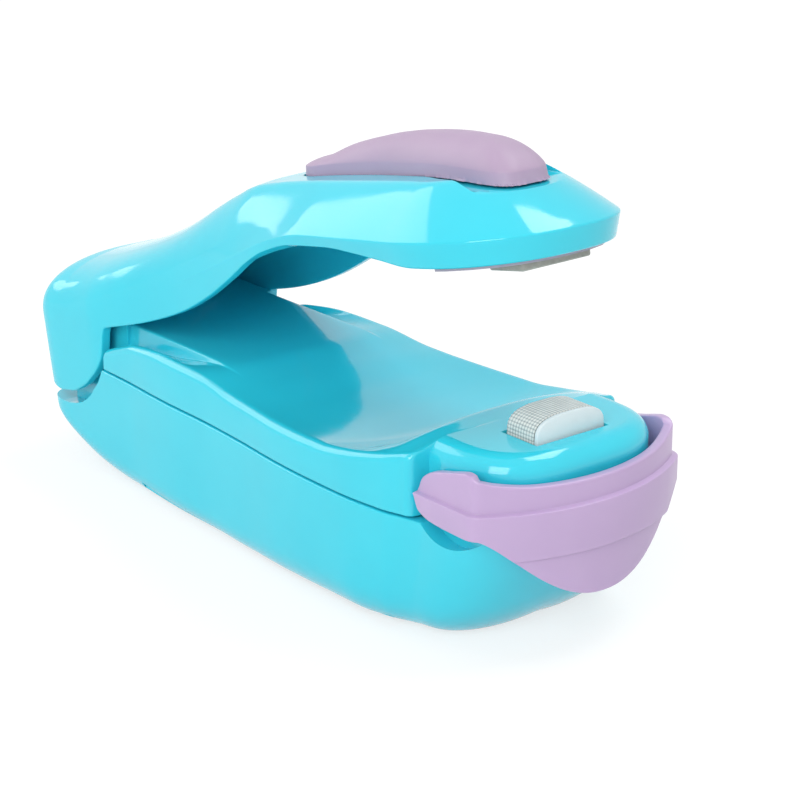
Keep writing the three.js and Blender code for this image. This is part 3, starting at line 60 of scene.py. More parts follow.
# A smooth curve through points given as shares of two sizes: cubic pieces, each joint's slope
# the harmonic mean of its neighbours' slopes, so that the curve never overshoots.
def easedCurve(points, xSize=1, ySize=1, lift=0.0):
    p = np.array(points, float) * [xSize, ySize]
    h = np.diff(p[:, 0])
    slope = np.diff(p[:, 1]) / h
    a, b = slope[:-1], slope[1:]
    middle = np.where(a * b > 0, 2 * a * b / np.where(a + b == 0, 1, a + b), 0)
    m = np.concatenate([slope[:1], middle, slope[-1:]])

    def at(x):
        x = np.clip(np.asarray(x, float), p[0, 0], p[-1, 0])
        i = np.clip(np.searchsorted(p[:, 0], x, side="right") - 1, 0, len(h) - 1)
        t = (x - p[i, 0]) / h[i]
        r = 1 - t
        ends = p[i, 1] * (1 + 2 * t) * r * r + p[i + 1, 1] * t * t * (3 - 2 * t)
        return lift + ends + h[i] * t * r * (m[i] * r - m[i + 1] * t)

    return at


# Spaces a drawn line anew: equal steps of its length plus its turning, so bends get more points.
def evenly(line, count, bend=4.0):
    line = np.asarray(line, float)
    step = np.hypot(*np.diff(line, axis=0).T)
    line = line[np.concatenate([[True], step > 1e-9])]
    step = np.diff(line, axis=0)
    heading = np.unwrap(np.arctan2(step[:, 1], step[:, 0]))
    turning = np.concatenate([[0], np.abs(np.diff(heading))])
    along = np.concatenate([[0], np.cumsum(np.hypot(*step.T) + bend * turning)])
    wanted = np.linspace(0, along[-1], count)
    return np.stack([np.interp(wanted, along, line[:, 0]), np.interp(wanted, along, line[:, 1])], 1)


# A quarter of a superellipse: x and y are the cosine and sine of an angle raised to 2 / power.
def quarter(power, count=400):
    angle = np.linspace(0, np.pi / 2, count)
    return np.cos(angle) ** (2 / power), np.sin(angle) ** (2 / power)


# Half of a plan, from the rear's middle to the nose's: a quarter superellipse at each end and the
# width curve between them, spaced evenly.
def planOutline(count, shape, widthAt, steps, rearSteps=400):
    back, fore = shape["rearRound"], shape["frontRound"]
    c, s = quarter(shape["rearPower"], rearSteps)
    rear = np.stack([mix(back, shape["rear"], c), widthAt(back) * s], 1)
    x = np.linspace(back, fore, steps)[1:-1]
    side = np.stack([x, widthAt(x)], 1)
    c, s = quarter(shape["frontPower"])
    front = np.stack([mix(fore, shape["front"], s), widthAt(fore) * c], 1)
    return evenly(np.concatenate([rear, side, front]), count)


# Measures a plan's edge from its middle line: the nearest point of the line, which runs from start
# to end, and the edge's x, y and distance from there.
def fromSpine(edge, start, end):
    middle = np.clip(edge[:, 0], start, end)
    dx, y = edge[:, 0] - middle, edge[:, 1]
    return middle, dx, y, np.hypot(dx, y)


# Rounds corners of many profiles at once: corner k of every section becomes a short parabola
# that leaves its edges at a radius from the corner, or at under half of a shorter edge.
def rounded(corners, radii, count=5, closed=False):
    out = []
    last = len(corners) - 1
    t = np.linspace(0, 1, count)[:, None, None]
    for k, corner in enumerate(corners):
        radius = radii.get(k, 0)
        if (k in (0, last) and not closed) or np.all(np.asarray(radius) == 0):
            out.append(corner[None])
            continue
        before = corners[k - 1] - corner
        after = corners[(k + 1) % (last + 1)] - corner
        longBefore = np.linalg.norm(before, axis=1)
        longAfter = np.linalg.norm(after, axis=1)
        reach = np.minimum(radius, 0.45 * np.minimum(longBefore, longAfter))
        start = corner + before * (reach / np.maximum(longBefore, 1e-9))[:, None]
        end = corner + after * (reach / np.maximum(longAfter, 1e-9))[:, None]
        out.append((1 - t) ** 2 * start[None] + 2 * t * (1 - t) * corner[None] + t**2 * end[None])
    return np.concatenate(out).transpose(1, 0, 2)


# Quads between the rows of a grid of points, closed round its rows or columns where asked.
def gridFaces(rows, columns, roundRows=False, roundColumns=False):
    r = np.arange(rows if roundRows else rows - 1)[:, None]
    c = np.arange(columns if roundColumns else columns - 1)[None]
    r2, c2 = (r + 1) % rows, (c + 1) % columns
    quads = [r * columns + c, r * columns + c2, r2 * columns + c2, r2 * columns + c]
    return np.stack(quads, -1).reshape(-1, 4)


shift = 1.25  # brings the middle of the open sealer's length to x = 0
hinge = np.array([-42.5, 0, 18.8])
hx, hz = hinge[0], hinge[2]
openAngle = math.radians(11.5)


def atRest(points):
    return (np.asarray(points) + [shift, 0, 0]) * 0.001


def atOpen(points):  # turned about the hinge pin by the opening angle
    p = np.asarray(points) - hinge
    c, s = math.cos(openAngle), math.sin(openAngle)
    swung = [p[..., 0] * c - p[..., 2] * s, p[..., 1], p[..., 0] * s + p[..., 2] * c]
    return atRest(np.stack(swung, -1) + hinge)


# A mesh object from points and faces: doubles merged, normals turned out.
def solid(name, points, faces, place=atRest):
    mesh = bpy.data.meshes.new(name)
    mesh.from_pydata(place(points).tolist(), [], [list(map(int, f)) for f in faces])
    bm = bmesh.new()
    bm.from_mesh(mesh)
    bmesh.ops.remove_doubles(bm, verts=bm.verts, dist=2e-6)
    bmesh.ops.dissolve_degenerate(bm, dist=1e-7, edges=bm.edges)
    bmesh.ops.recalc_face_normals(bm, faces=bm.faces)
    bm.to_mesh(mesh)
    bm.free()
    body = bpy.data.objects.new(name, mesh)
    bpy.context.collection.objects.link(body)
    return body


# The sections of one half and their mirror images, as one run. The last section lies on the
# middle plane, and so does the first, unless the half starts with a flat end.
def bothSides(half, flatEnd=False):
    mirrored = half[::-1] * [1, -1, 1]
    return np.concatenate([half, mirrored[1:] if flatEnd else mirrored[1:-1]])


def mirroredBody(name, half, place=atRest, flatEnd=False):
    ring = bothSides(half, flatEnd)
    rows, columns = ring.shape[:2]
    return solid(name, ring.reshape(-1, 3), gridFaces(rows, columns, roundRows=True), place)


# A run of closed rings with a flat face on each end.
def loft(name, rings, place=atRest):
    rings = np.asarray(rings)
    rows, columns = rings.shape[:2]
    faces = gridFaces(rows, columns, roundColumns=True).tolist()
    faces += [list(range(columns)), list(range((rows - 1) * columns, rows * columns))]
    return solid(name, rings.reshape(-1, 3), faces, place)


def prism(name, outline, y0, y1, place=atRest):  # an outline in side view, carried across
    outline = np.asarray(outline, float)
    ring = lambda y: np.stack([outline[:, 0], np.full(len(outline), y), outline[:, 1]], 1)
    return loft(name, [ring(y0), ring(y1)], place)


def block(name, x0, x1, y0, y1, z0, z1, place=atRest):
    return prism(name, [(x0, z0), (x1, z0), (x1, z1), (x0, z1)], y0, y1, place)


# A turned piece: radii at distances along an axis, carried round it.
def turned(name, profile, centre, axis, place=atRest, sides=48):
    profile = np.asarray(profile, float)
    angle = np.arange(sides) / sides * 2 * np.pi
    a = {"x": 0, "y": 1, "z": 2}[axis]
    b, c = (a + 1) % 3, (a + 2) % 3
    rings = np.zeros((len(profile), sides, 3))
    rings[..., a] = profile[:, 1:2]
    rings[..., b] = profile[:, :1] * np.cos(angle)
    rings[..., c] = profile[:, :1] * np.sin(angle)
    return loft(name, rings + np.asarray(centre, float), place)


def rod(name, radius, start, end, centre, axis, place=atRest, sides=48):
    return turned(name, [(radius, start), (radius, end)], centre, axis, place, sides)


def onSide(side, near, far):  # a stretch of y on one side of the middle, low end first
    return sorted((side * near, side * far))


# Cuts, joins or meets two bodies, and takes the second away.
def carve(body, tool, how="DIFFERENCE"):
    step = body.modifiers.new("carve", "BOOLEAN")
    step.operation = how
    step.solver = "MANIFOLD"
    step.object = tool
    bpy.context.view_layer.update()
    made = bpy.data.meshes.new_from_object(body.evaluated_get(bpy.context.evaluated_depsgraph_get()))
    body.modifiers.clear()
    before, spent = body.data, tool.data
    body.data = made
    made.name = body.name
    bpy.data.objects.remove(tool)
    bpy.data.meshes.remove(before)
    bpy.data.meshes.remove(spent)
    if len(made.polygons) == 0:
        raise RuntimeError("nothing is left of " + body.name)
    return body


# Smooth shading with sharp edges where faces meet at more than an angle, then body and finish.
def finishPiece(piece, body, slot, material, *stoodFor, sharp=32):
    mesh = piece.data
    mesh.polygons.foreach_set("use_smooth", np.ones(len(mesh.polygons), bool))
    mesh.set_sharp_from_angle(angle=math.radians(sharp))
    mesh.materials.clear()
    mesh.materials.append(material)
    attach(piece, body)
    if stoodFor:
        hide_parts(*stoodFor)
    return piece


def colour(code):  # an sRGB hex value as the linear colour that the shader takes
    parts = [int(code[i : i + 2], 16) / 255 for i in (1, 3, 5)]
    return (*[p / 12.92 if p <= 0.04045 else ((p + 0.055) / 1.055) ** 2.4 for p in parts], 1)


# Adds a node: settings are its own properties or its sockets' values, links are the sources of sockets.
def addNode(tree, kind, settings=None, links=None):
    node = tree.nodes.new("ShaderNode" + kind)
    for key, value in (settings or {}).items():
        if isinstance(key, str) and hasattr(node, key):
            setattr(node, key, value)
        else:
            node.inputs[key].default_value = value
    for key, source in (links or {}).items():
        tree.links.new(source, node.inputs[key])
    return node


# An empty material, its nodes, and the link that lays a texture on Object coordinates.
def newMaterial(name):
    material = bpy.data.materials.new(name)
    material.use_nodes = True
    tree = material.node_tree
    tree.nodes.clear()
    return material, tree, {"Vector": addNode(tree, "TexCoord").outputs["Object"]}


def stops(ramp, *points):  # colours or greys at places along a colour ramp
    items = ramp.color_ramp.elements
    while len(items) < len(points):
        items.new(0.5)
    for item, (at, value) in zip(items, points):
        item.position = at
        item.color = colour(value) if isinstance(value, str) else (value, value, value, 1)
    return ramp


def scaleFor(size):  # the scale that gives a texture's grain a size in millimetres
    return 1 / (size * 0.001)


# Injection-moulded plastic: a clean glossy skin over slightly cloudy colour. The eye sees soft
# clouds in the colour a few millimetres wide, faint orange peel in its reflections, fine matt
# scuffs from handling, and the odd speck that was moulded in.
def mouldedPlastic(name, look):
    material, tree, here = newMaterial(name)
    cloudy = {"Scale": scaleFor(look["cloudSize"]), "Detail": 3.0, "Roughness": 0.55}
    clouds = addNode(tree, "TexNoise", cloudy, here)
    shades = {"data_type": "RGBA", 6: colour(look["light"]), 7: colour(look["deep"])}
    tint = addNode(tree, "Mix", shades, {0: clouds.outputs["Fac"]})
    specks = addNode(tree, "TexVoronoi", {"Scale": scaleFor(look["speckPitch"]), "Randomness": 1.0}, here)
    speck = addNode(tree, "ValToRGB", links={0: specks.outputs["Distance"]})
    stops(speck, (0.0, 1.0), (look["speckSize"] / look["speckPitch"], 0.0))
    # a speck shows in one cell of the pattern out of fourteen
    rare = addNode(tree, "Math", {"operation": "GREATER_THAN", 1: 0.93}, {0: specks.outputs["Color"]})
    where = {0: speck.outputs["Color"], 1: rare.outputs[0]}
    shown = addNode(tree, "Math", {"operation": "MULTIPLY"}, where)
    strength = {"operation": "MULTIPLY", 1: look["speckStrength"]}
    faint = addNode(tree, "Math", strength, {0: shown.outputs[0]})
    spotted = {0: faint.outputs[0], 6: tint.outputs[2]}
    skin = addNode(tree, "Mix", {"data_type": "RGBA", 7: colour(look["speck"])}, spotted)
    drawnOut = addNode(tree, "Mapping", {"Scale": (0.35, 1.0, 1.0)}, here)  # scuffs run lengthways
    scuffed = {"Scale": scaleFor(look["scuffSize"]), "Detail": 5.0, "Roughness": 0.7}
    scuffs = addNode(tree, "TexNoise", scuffed, {"Vector": drawnOut.outputs[0]})
    gloss = {"From Min": 0.35, "From Max": 0.75, "To Min": look["gloss"], "To Max": look["scuffed"]}
    matt = addNode(tree, "MapRange", gloss, {"Value": scuffs.outputs["Fac"]})
    peel = addNode(tree, "TexNoise", {"Scale": scaleFor(look["peelSize"]), "Detail": 2.0}, here)
    grain = addNode(tree, "TexNoise", {"Scale": scaleFor(0.25), "Detail": 1.0}, here)
    mixed = {0: grain.outputs["Fac"], 2: peel.outputs["Fac"]}
    rough = addNode(tree, "Math", {"operation": "MULTIPLY_ADD", 1: look["grain"]}, mixed)
    relief = {"Strength": look["peelStrength"], "Distance": 0.00002}
    bump = addNode(tree, "Bump", relief, {"Height": rough.outputs[0]})
    plastic = {
        "IOR": 1.53, "Specular IOR Level": look["shine"], "Subsurface Weight": look["depth"],
        "Subsurface Radius": look["bleed"], "Subsurface Scale": 0.001,
    }
    surface = {"Base Color": skin.outputs[2], "Roughness": matt.outputs[0], "Normal": bump.outputs[0]}
    shader = addNode(tree, "BsdfPrincipled", plastic, surface)
    addNode(tree, "OutputMaterial", links={0: shader.outputs[0]})
    return material


cyanLook = {
    "light": "#38d3e6", "deep": "#2dc9de", "speck": "#0f7f96",
    "cloudSize": 14, "speckPitch": 3.2, "speckSize": 0.16, "speckStrength": 0.5,
    "scuffSize": 2.2, "gloss": 0.06, "scuffed": 0.13,
    "peelSize": 3.5, "peelStrength": 0.25, "grain": 0.15,
    "depth": 0.1, "bleed": (0.4, 1.4, 1.8), "shine": 0.5,
}
lilacLook = {
    "light": "#c2aacf", "deep": "#b79fc7", "speck": "#8a6f9c",
    "cloudSize": 11, "speckPitch": 3.6, "speckSize": 0.15, "speckStrength": 0.4,
    "scuffSize": 1.8, "gloss": 0.3, "scuffed": 0.34,
    "peelSize": 3.0, "peelStrength": 0.25, "grain": 0.3,
    "depth": 0.15, "bleed": (1.4, 0.9, 1.4), "shine": 0.5,
}
thumbLook = dict(
    lilacLook, light="#b5a0b8", deep="#aa96b1", gloss=0.42, scuffed=0.52, shine=0.3, speckStrength=0.2
)
greyLook = dict(lilacLook, light="#b0a9b8", deep="#a69eb0", gloss=0.4, scuffed=0.5)
whiteLook = {
    "light": "#dbe7ea", "deep": "#d1dee1", "speck": "#a9a391",
    "cloudSize": 5, "speckPitch": 1.8, "speckSize": 0.12, "speckStrength": 0.35,
    "scuffSize": 1.2, "gloss": 0.38, "scuffed": 0.52,
    "peelSize": 2.0, "peelStrength": 0.3, "grain": 0.5,
    "depth": 0.1, "bleed": (1.0, 1.0, 0.9), "shine": 0.5,
}
cyanPlastic = mouldedPlastic("glossy moulded ABS, cyan", cyanLook)
lilacPlastic = mouldedPlastic("satin moulded ABS, lilac", lilacLook)
thumbPlastic = mouldedPlastic("satin moulded ABS, pale lilac", thumbLook)
greyPlastic = mouldedPlastic("moulded nylon, grey", greyLook)
whitePlastic = mouldedPlastic("moulded heat-resistant resin, white", whiteLook)


# Woven glass cloth with a slip coating: off-white yarns with a dry, broken gloss. The weave is
# in the mesh, and the strands within a yarn, too fine for the mesh, are drawn along its threads.
def glassCloth(look):
    material, tree, here = newMaterial("woven glass cloth, coated")
    threads = addNode(tree, "UVMap", {"uv_map": "threads"}).outputs[0]
    high = addNode(tree, "Attribute", {"attribute_name": "crown"}).outputs["Fac"]
    dirt = addNode(tree, "TexNoise", {"Scale": scaleFor(1.2), "Detail": 4.0}, here)
    # painted shade and light: the colour runs from dark in the gaps between threads, as painted shade, to
    # pale on their crowns, as painted light, by the crown height, with real dirt noise added
    toneVariation = {0: dirt.outputs["Fac"], 2: high}
    both = addNode(tree, "Math", {"operation": "MULTIPLY_ADD", 1: 0.35}, toneVariation)
    tint = addNode(tree, "ValToRGB", links={0: both.outputs[0]})
    stops(tint, (0.3, look["between"]), (0.75, look["yarn"]), (1.0, look["crown"]))
    twisted = {"Scale": look["strandsPerThread"], "Detail": 2.0}
    strands = addNode(tree, "TexNoise", twisted, {"Vector": threads})
    relief = {"Strength": 0.5, "Distance": 0.00003}
    bump = addNode(tree, "Bump", relief, {"Height": strands.outputs["Fac"]})
    glass = {"Roughness": look["dryness"], "IOR": 1.5, "Sheen Weight": 0.15, "Sheen Roughness": 0.5}
    surface = {"Base Color": tint.outputs[0], "Normal": bump.outputs[0]}
    shader = addNode(tree, "BsdfPrincipled", glass, surface)
    addNode(tree, "OutputMaterial", links={0: shader.outputs[0]})
    return material


# thread is the pitch of the weave and swell its depth, in millimetres; a real thread is finer
# than the render can show, so the cloth is drawn a little coarse
clothLook = {
    # between is painted shade for the gaps between threads, crown is painted light for their tops, and
    # yarn is the cloth's own colour
    "between": "#7c8785", "yarn": "#b4bfbf", "crown": "#dce1dd",
    "strandsPerThread": 5.0, "dryness": 0.62, "thread": 0.47, "swell": 0.075,
}
cloth = glassCloth(clothLook)


# Moulded silicone rubber: matt and slightly dusty, with a fine pitted skin that lint clings to.
def siliconeRubber(look):
    material, tree, here = newMaterial("moulded silicone rubber, grey")
    dust = addNode(tree, "TexNoise", {"Scale": scaleFor(0.9), "Detail": 5.0, "Roughness": 0.7}, here)
    tint = addNode(tree, "ValToRGB", links={0: dust.outputs["Fac"]})
    stops(tint, (0.3, look["deep"]), (0.7, look["light"]))
    pits = addNode(tree, "TexNoise", {"Scale": scaleFor(0.3), "Detail": 2.0}, here)
    bump = addNode(tree, "Bump", {"Strength": 0.35, "Distance": 0.00004}, {"Height": pits.outputs["Fac"]})
    rubber = {
        "Roughness": 0.72, "IOR": 1.41,
        "Subsurface Weight": 0.08, "Subsurface Radius": (0.5, 0.5, 0.5), "Subsurface Scale": 0.001,
    }
    surface = {"Base Color": tint.outputs[0], "Normal": bump.outputs[0]}
    shader = addNode(tree, "BsdfPrincipled", rubber, surface)
    addNode(tree, "OutputMaterial", links={0: shader.outputs[0]})
    return material


silicone = siliconeRubber({"light": "#b0b4ac", "deep": "#989d95"})


# Bare metal parts: drawn wire and headed screws keep the die's fine lines, stamped strip is
# smoother; handling leaves cloudy patches that change the gloss and not the colour.
def bareMetal(name, look):
    material, tree, here = newMaterial(name)
    handled = addNode(tree, "TexNoise", {"Scale": scaleFor(1.5), "Detail": 4.0}, here)
    tint = addNode(tree, "ValToRGB", links={0: handled.outputs["Fac"]})
    stops(tint, (0.35, look["light"]), (0.7, look["deep"]))
    gloss = {"From Min": 0.3, "From Max": 0.7, "To Min": look["gloss"], "To Max": look["dull"]}
    rough = addNode(tree, "MapRange", gloss, {"Value": handled.outputs["Fac"]})
    drawn = addNode(tree, "TexNoise", {"Scale": scaleFor(look["lines"]), "Detail": 1.0}, here)
    bump = addNode(tree, "Bump", {"Strength": 0.3, "Distance": 0.00001}, {"Height": drawn.outputs["Fac"]})
    surface = {"Base Color": tint.outputs[0], "Roughness": rough.outputs[0], "Normal": bump.outputs[0]}
    shader = addNode(tree, "BsdfPrincipled", {"Metallic": 1.0}, surface)
    addNode(tree, "OutputMaterial", links={0: shader.outputs[0]})
    return material


steelLook = {"light": "#c9cdd0", "deep": "#a9adb0", "gloss": 0.26, "dull": 0.42, "lines": 0.12}
brassLook = {"light": "#d0ab63", "deep": "#b18a47", "gloss": 0.3, "dull": 0.45, "lines": 0.2}
steel = bareMetal("zinc-plated steel, drawn and headed", steelLook)
brass = bareMetal("stamped brass strip", brassLook)


# Shrunk PVC film round a cell: glossy, dark, with a warm band at the plus end that ends in a
# clean printed edge. The band is an attribute, as it lies at the other end on the other cell.
def shrinkFilm(look):
    material, tree, here = newMaterial("shrunk PVC film, printed")
    band = addNode(tree, "Attribute", {"attribute_name": "band"}).outputs["Fac"]
    tint = addNode(tree, "ValToRGB", links={0: band})
    stops(tint, (0.45, look["body"]), (0.55, look["band"]))
    wrinkles = addNode(tree, "TexNoise", {"Scale": scaleFor(3), "Detail": 3.0}, here).outputs["Fac"]
    bump = addNode(tree, "Bump", {"Strength": 0.3, "Distance": 0.00003}, {"Height": wrinkles})
    rough = addNode(tree, "MapRange", {"To Min": 0.16, "To Max": 0.3}, {"Value": wrinkles})
    surface = {"Base Color": tint.outputs[0], "Roughness": rough.outputs[0], "Normal": bump.outputs[0]}
    shader = addNode(tree, "BsdfPrincipled", {"IOR": 1.53}, surface)
    addNode(tree, "OutputMaterial", links={0: shader.outputs[0]})
    return material


cellFilm = shrinkFilm({"body": "#3a444b", "band": "#b98a4e"})


# Extruded PVC sleeve of a hook-up wire: soft gloss with faint draw lines and paler bends.
def wireSleeve(look):
    material, tree, here = newMaterial("extruded PVC sleeve, red")
    toneVariation = addNode(tree, "TexNoise", {"Scale": scaleFor(0.8), "Detail": 3.0}, here).outputs["Fac"]
    tint = addNode(tree, "ValToRGB", links={0: toneVariation})
    stops(tint, (0.3, look["deep"]), (0.75, look["light"]))
    rough = addNode(tree, "MapRange", {"To Min": 0.35, "To Max": 0.55}, {"Value": toneVariation})
    surface = {"Base Color": tint.outputs[0], "Roughness": rough.outputs[0]}
    shader = addNode(tree, "BsdfPrincipled", {"IOR": 1.53}, surface)
    addNode(tree, "OutputMaterial", links={0: shader.outputs[0]})
    return material


leadSleeve = wireSleeve({"light": "#c94a44", "deep": "#a92c2c"})
print("finishes made")

# Sizes that several pieces share.
size = {
    "length": 100, "halfWidth": 18.5, "parting": 16, "rise": 28,
    "postOuter": 12.28, "postInner": 8.6, "postRadius": 3.9, "springRadius": 4.1, "pinHole": 1.4,
    "noseTop": 25.604, "noseHalf": 14.1, "plateauTop": 22.69, "plateauHalf": 11.69,
    "pivot": (39.6, 0, 20.9), "screwSpots": ((33.8, 5.4), (-31.6, 8.6)), "screwHole": 1.4,
    "heaterPlan": (37.4, 44, -6.2, 6.2),
    "cellY": 7.3, "cellZ": 9.25, "bayRear": -26.4, "bayFront": 28.8,
}
length, halfWidth, parting, rise = size["length"], size["halfWidth"], size["parting"], size["rise"]


def widthCurve(points):
    return easedCurve(points, length, halfWidth)


def heightCurve(points):  # heights are shares of the rise above the parting line
    return easedCurve(points, length, rise, parting)


baseWidthAt = widthCurve([
    (-0.45, 0.82), (-0.4, 0.826), (-0.34, 0.834), (-0.28, 0.845), (-0.22, 0.87), (-0.16, 0.888),
    (-0.1, 0.895), (0, 0.93), (0.09, 0.978), (0.155, 0.996), (0.22, 1), (0.297, 0.966),
    (0.335, 0.912), (0.36, 0.885), (0.47, 0.865),
])
ridgeAt = heightCurve([
    (-0.499, 0.4579), (-0.46, 0.4846), (-0.42, 0.5034), (-0.36, 0.5349), (-0.29, 0.582),
    (-0.22, 0.648), (-0.166, 0.714), (-0.125, 0.7643), (-0.08, 0.8083), (-0.02, 0.8491),
    (0.06, 0.8523), (0.16, 0.8523), (0.26, 0.8507), (0.31, 0.846), (0.37, 0.8271), (0.42, 0.8036),
    (0.446, 0.7894), (0.487, 0.7737),
])

lowerCase = {
    "rear": -51.6, "rearRound": -43, "rearPower": 4.5,
    "front": 46.8, "frontRound": 36, "frontPower": 3.4,
    "bottomRadius": 3.4, "noseRadius": 5.2, "radiusFade": (-5, 22), "draft": 0.4,
    "footRound": 29, "footPower": 2.3, "footFade": (22, 37), "levels": (6, 9, 12, 14.5),
    "rearRise": 7.6, "rearRiseStart": -24, "rakeStart": 24, "rakeFoot": 39.2, "rakePower": 0.8,
    "wall": 1.5, "rim": 0.35, "pocket": (32.3, 44.8), "pocketIn": 12.6, "pocketFloor": 12.5,
    # radius, from and to
    "boss": (3.1, 0.4, 5.3), "screwHead": (2.2, -2, 3.2), "cellRoom": (7.45, -27.5, 29.9),
}
cheek = {  # the hollows that the arm's cheeks swing in
    "radius": 8.1, "floor": 8.5, "top": parting + 8, "rear": -54, "fore": 3.6, "clearance": 0.3,
    "scoop": [(-38.2, 11.5), (-39.3, 10.6), (-40.7, 9.75), (-42.4, 9.1), (-44.4, 8.65), (-46.5, 8.5)],
}
# the notches that the guard's lugs swing in
lug = {"x": 40, "z": 20.2, "radius": 6.2, "low": 0.3, "fore": 4.4, "inner": 14.1}
tray = {  # x, y and z from and to of the blocks on the case's floor
    "foot": (hx - size["postRadius"], -35.7, -size["postOuter"], size["postOuter"], 2, parting),
    "seat": (*size["heaterPlan"], 0.5, 10.6),
    "rearRib": (-28.6, -27.2, -18, 18, 0.5, 11),
    "foreRib": (29.1, 30.5, -18, 18, 0.5, 11),
}
door = {
    "rear": -25.6, "front": 28.0, "half": 14.75, "low": 0.2, "high": 1.7, "gap": 0.5,
    "hookIn": 11.4, "hookOut": 12.9, "hookTop": 2.85, "neck": 1.5, "root": 0.3,
    "tongue": 1.2, "tongueLow": 2.15,
}


# A point of the lower case's skin: the outline drawn in by an inset, a draft and the bottom corner's
# arc, raked at the nose, and raised at the rear by a cube of the distance. Towards the nose's foot
# the width also narrows, to a rounder superellipse.
def casePoint(edge, inset, height):
    c = lowerCase
    share = height / parting
    radius = mix(c["bottomRadius"], c["noseRadius"], fade(edge[:, 0], *c["radiusFade"]))
    corner = radius - np.sqrt(radius**2 - np.maximum(0, radius - height) ** 2)
    offset = inset + corner + c["draft"] * (1 - share)
    middle, dx, width, reach = fromSpine(edge, c["rearRound"], c["frontRound"])
    kept = np.maximum(reach - offset, 0) / np.maximum(reach, 1e-9)
    x, y = middle + dx * kept, width * kept
    ahead = np.clip((edge[:, 0] - c["footRound"]) / (c["front"] - c["footRound"]), 0, 1)
    footWidth = baseWidthAt(c["footRound"]) * (1 - ahead ** c["footPower"]) ** (1 / c["footPower"])
    rounder = footWidth / np.maximum(width, 1e-9)
    softened = rounder / (1 + rounder**12) ** (1 / 12)  # the smaller of it and 1, without a corner
    y = y * mix(mix(1, softened, fade(edge[:, 0], *c["footFade"])), 1, share)
    foot = mix(c["rakeFoot"], c["front"], share ** c["rakePower"]) - c["rakeStart"]
    leaning = c["rakeStart"] + (x - c["rakeStart"]) * foot / (c["front"] - c["rakeStart"])
    raked = np.where(x > c["rakeStart"], leaning, x)
    behind = np.maximum(0, (c["rearRiseStart"] - raked) / (c["rearRiseStart"] - c["rear"]))
    under = c["rearRise"] * behind**3
    return np.stack([raked, -y, under + (parting - under) * share], 1)


# Half of the lower case as a block: its skin at levels from the foot's arc up to the parting line,
# closed by a flat floor and top, with the rim rounded.
def caseHalf(count, inset, floor, top, rim):
    edge = planOutline(count, lowerCase, baseWidthAt, 600)
    middle = fromSpine(edge, lowerCase["rearRound"], lowerCase["frontRound"])[0]
    middle = np.stack([middle, edge[:, 1] * 0], 1)
    centre = casePoint(middle, 0, 0)
    angles = np.linspace(0, np.pi / 2, 10)
    heights = [*(lowerCase["noseRadius"] * (1 - np.cos(angles))), *lowerCase["levels"], parting]
    corners = [centre + [0, 0, floor]]
    for height in heights:
        point = casePoint(edge, inset, height)
        point[:, 2] = np.maximum(point[:, 2], centre[:, 2] + floor)
        corners.append(point)
    corners[-1][:, 2] = top
    crown = casePoint(middle, 0, parting)
    crown[:, 2] = top
    corners.append(crown)
    return rounded(corners, {len(corners) - 2: rim}, 6)


def arc(x, z, radius, start, end, count=24):  # points in side view, angles in degrees
    angle = np.radians(np.linspace(start, end, count))
    return [(x + radius * math.cos(a), z + radius * math.sin(a)) for a in angle]


# Room for the arm's cheeks as they swing, grown by a wall for the tray round it.
def cheekRoom(growth):
    rear, top = cheek["rear"], cheek["top"]
    radius, floor = cheek["radius"] + growth, cheek["floor"] - growth
    scoop = [(x + 0.5 * growth, z - 0.85 * growth) for x, z in cheek["scoop"]]
    side = [(hx + radius, top), *arc(hx, hz, radius, 0, -50), *scoop, (rear, floor), (rear, top)]
    inner = size["postOuter"] + cheek["clearance"] - growth
    room = block("room", rear, hx - cheek["fore"] + growth, -19, 19, floor, top)
    carve(room, prism("side", side, -21, -inner), "UNION")
    return carve(room, prism("side", side, inner, 21), "UNION")


def lugRoom(side):  # where the guard's pivots swing, open to the outside
    x, z, radius, fore = lug["x"], lug["z"], lug["radius"], lug["fore"]
    drop = z - (parting + lug["low"])
    back = math.sqrt(radius**2 - drop**2)
    start = 180 + math.degrees(math.asin(drop / radius))
    end = 360 - math.degrees(math.acos(fore / radius))
    top = parting + 2
    outline = [(x - back, top), *arc(x, z, radius, start, end), (x + fore, top)]
    return prism("lugRoom", outline, *onSide(side, lug["inner"], 21))


def springRoom():  # the gap between the posts, for the spring and the arm's rear wall
    r, rear, top = size["springRadius"], -48.4, hz + 20
    outline = [(hx + r, top), (rear, top), (rear, hz - r), (hx, hz - r), *arc(hx, hz, r, -85, 0, 14)]
    return prism("springRoom", outline, -size["postInner"], size["postInner"])


wall = lowerCase["wall"]
lowerShell = mirroredBody("lowerShell", caseHalf(230, 0, 0, parting, lowerCase["rim"]))
carve(lowerShell, mirroredBody("hollow", caseHalf(70, wall, wall, parting + 2, 0)))
fittings = cheekRoom(wall)
for side in (-1, 1):
    across = onSide(side, lowerCase["pocketIn"], 19)
    pocket = block("pocket", *lowerCase["pocket"], *across, lowerCase["pocketFloor"], parting)
    carve(fittings, pocket, "UNION")
for name, box in tray.items():
    carve(fittings, block(name, *box), "UNION")
for x, y in size["screwSpots"]:
    for side in (1, -1):
        carve(fittings, rod("boss", *lowerCase["boss"], (x, side * y, 0), "z"), "UNION")
inside = mirroredBody("inside", caseHalf(90, 0.5, 0.4, parting - 0.05, 0))
carve(fittings, inside, "INTERSECT")
carve(lowerShell, fittings, "UNION")
carve(lowerShell, cheekRoom(0))
for side in (-1, 1):
    carve(lowerShell, lugRoom(side))
    centre = (0, side * size["cellY"], size["cellZ"])
    carve(lowerShell, rod("cell", *lowerCase["cellRoom"], centre, "x"))
gap, doorway = door["gap"], door["half"] + door["gap"]
carve(lowerShell, block("doorway", door["rear"] - gap, door["front"] + gap, -doorway, doorway, -2, 2))
carve(lowerShell, springRoom())
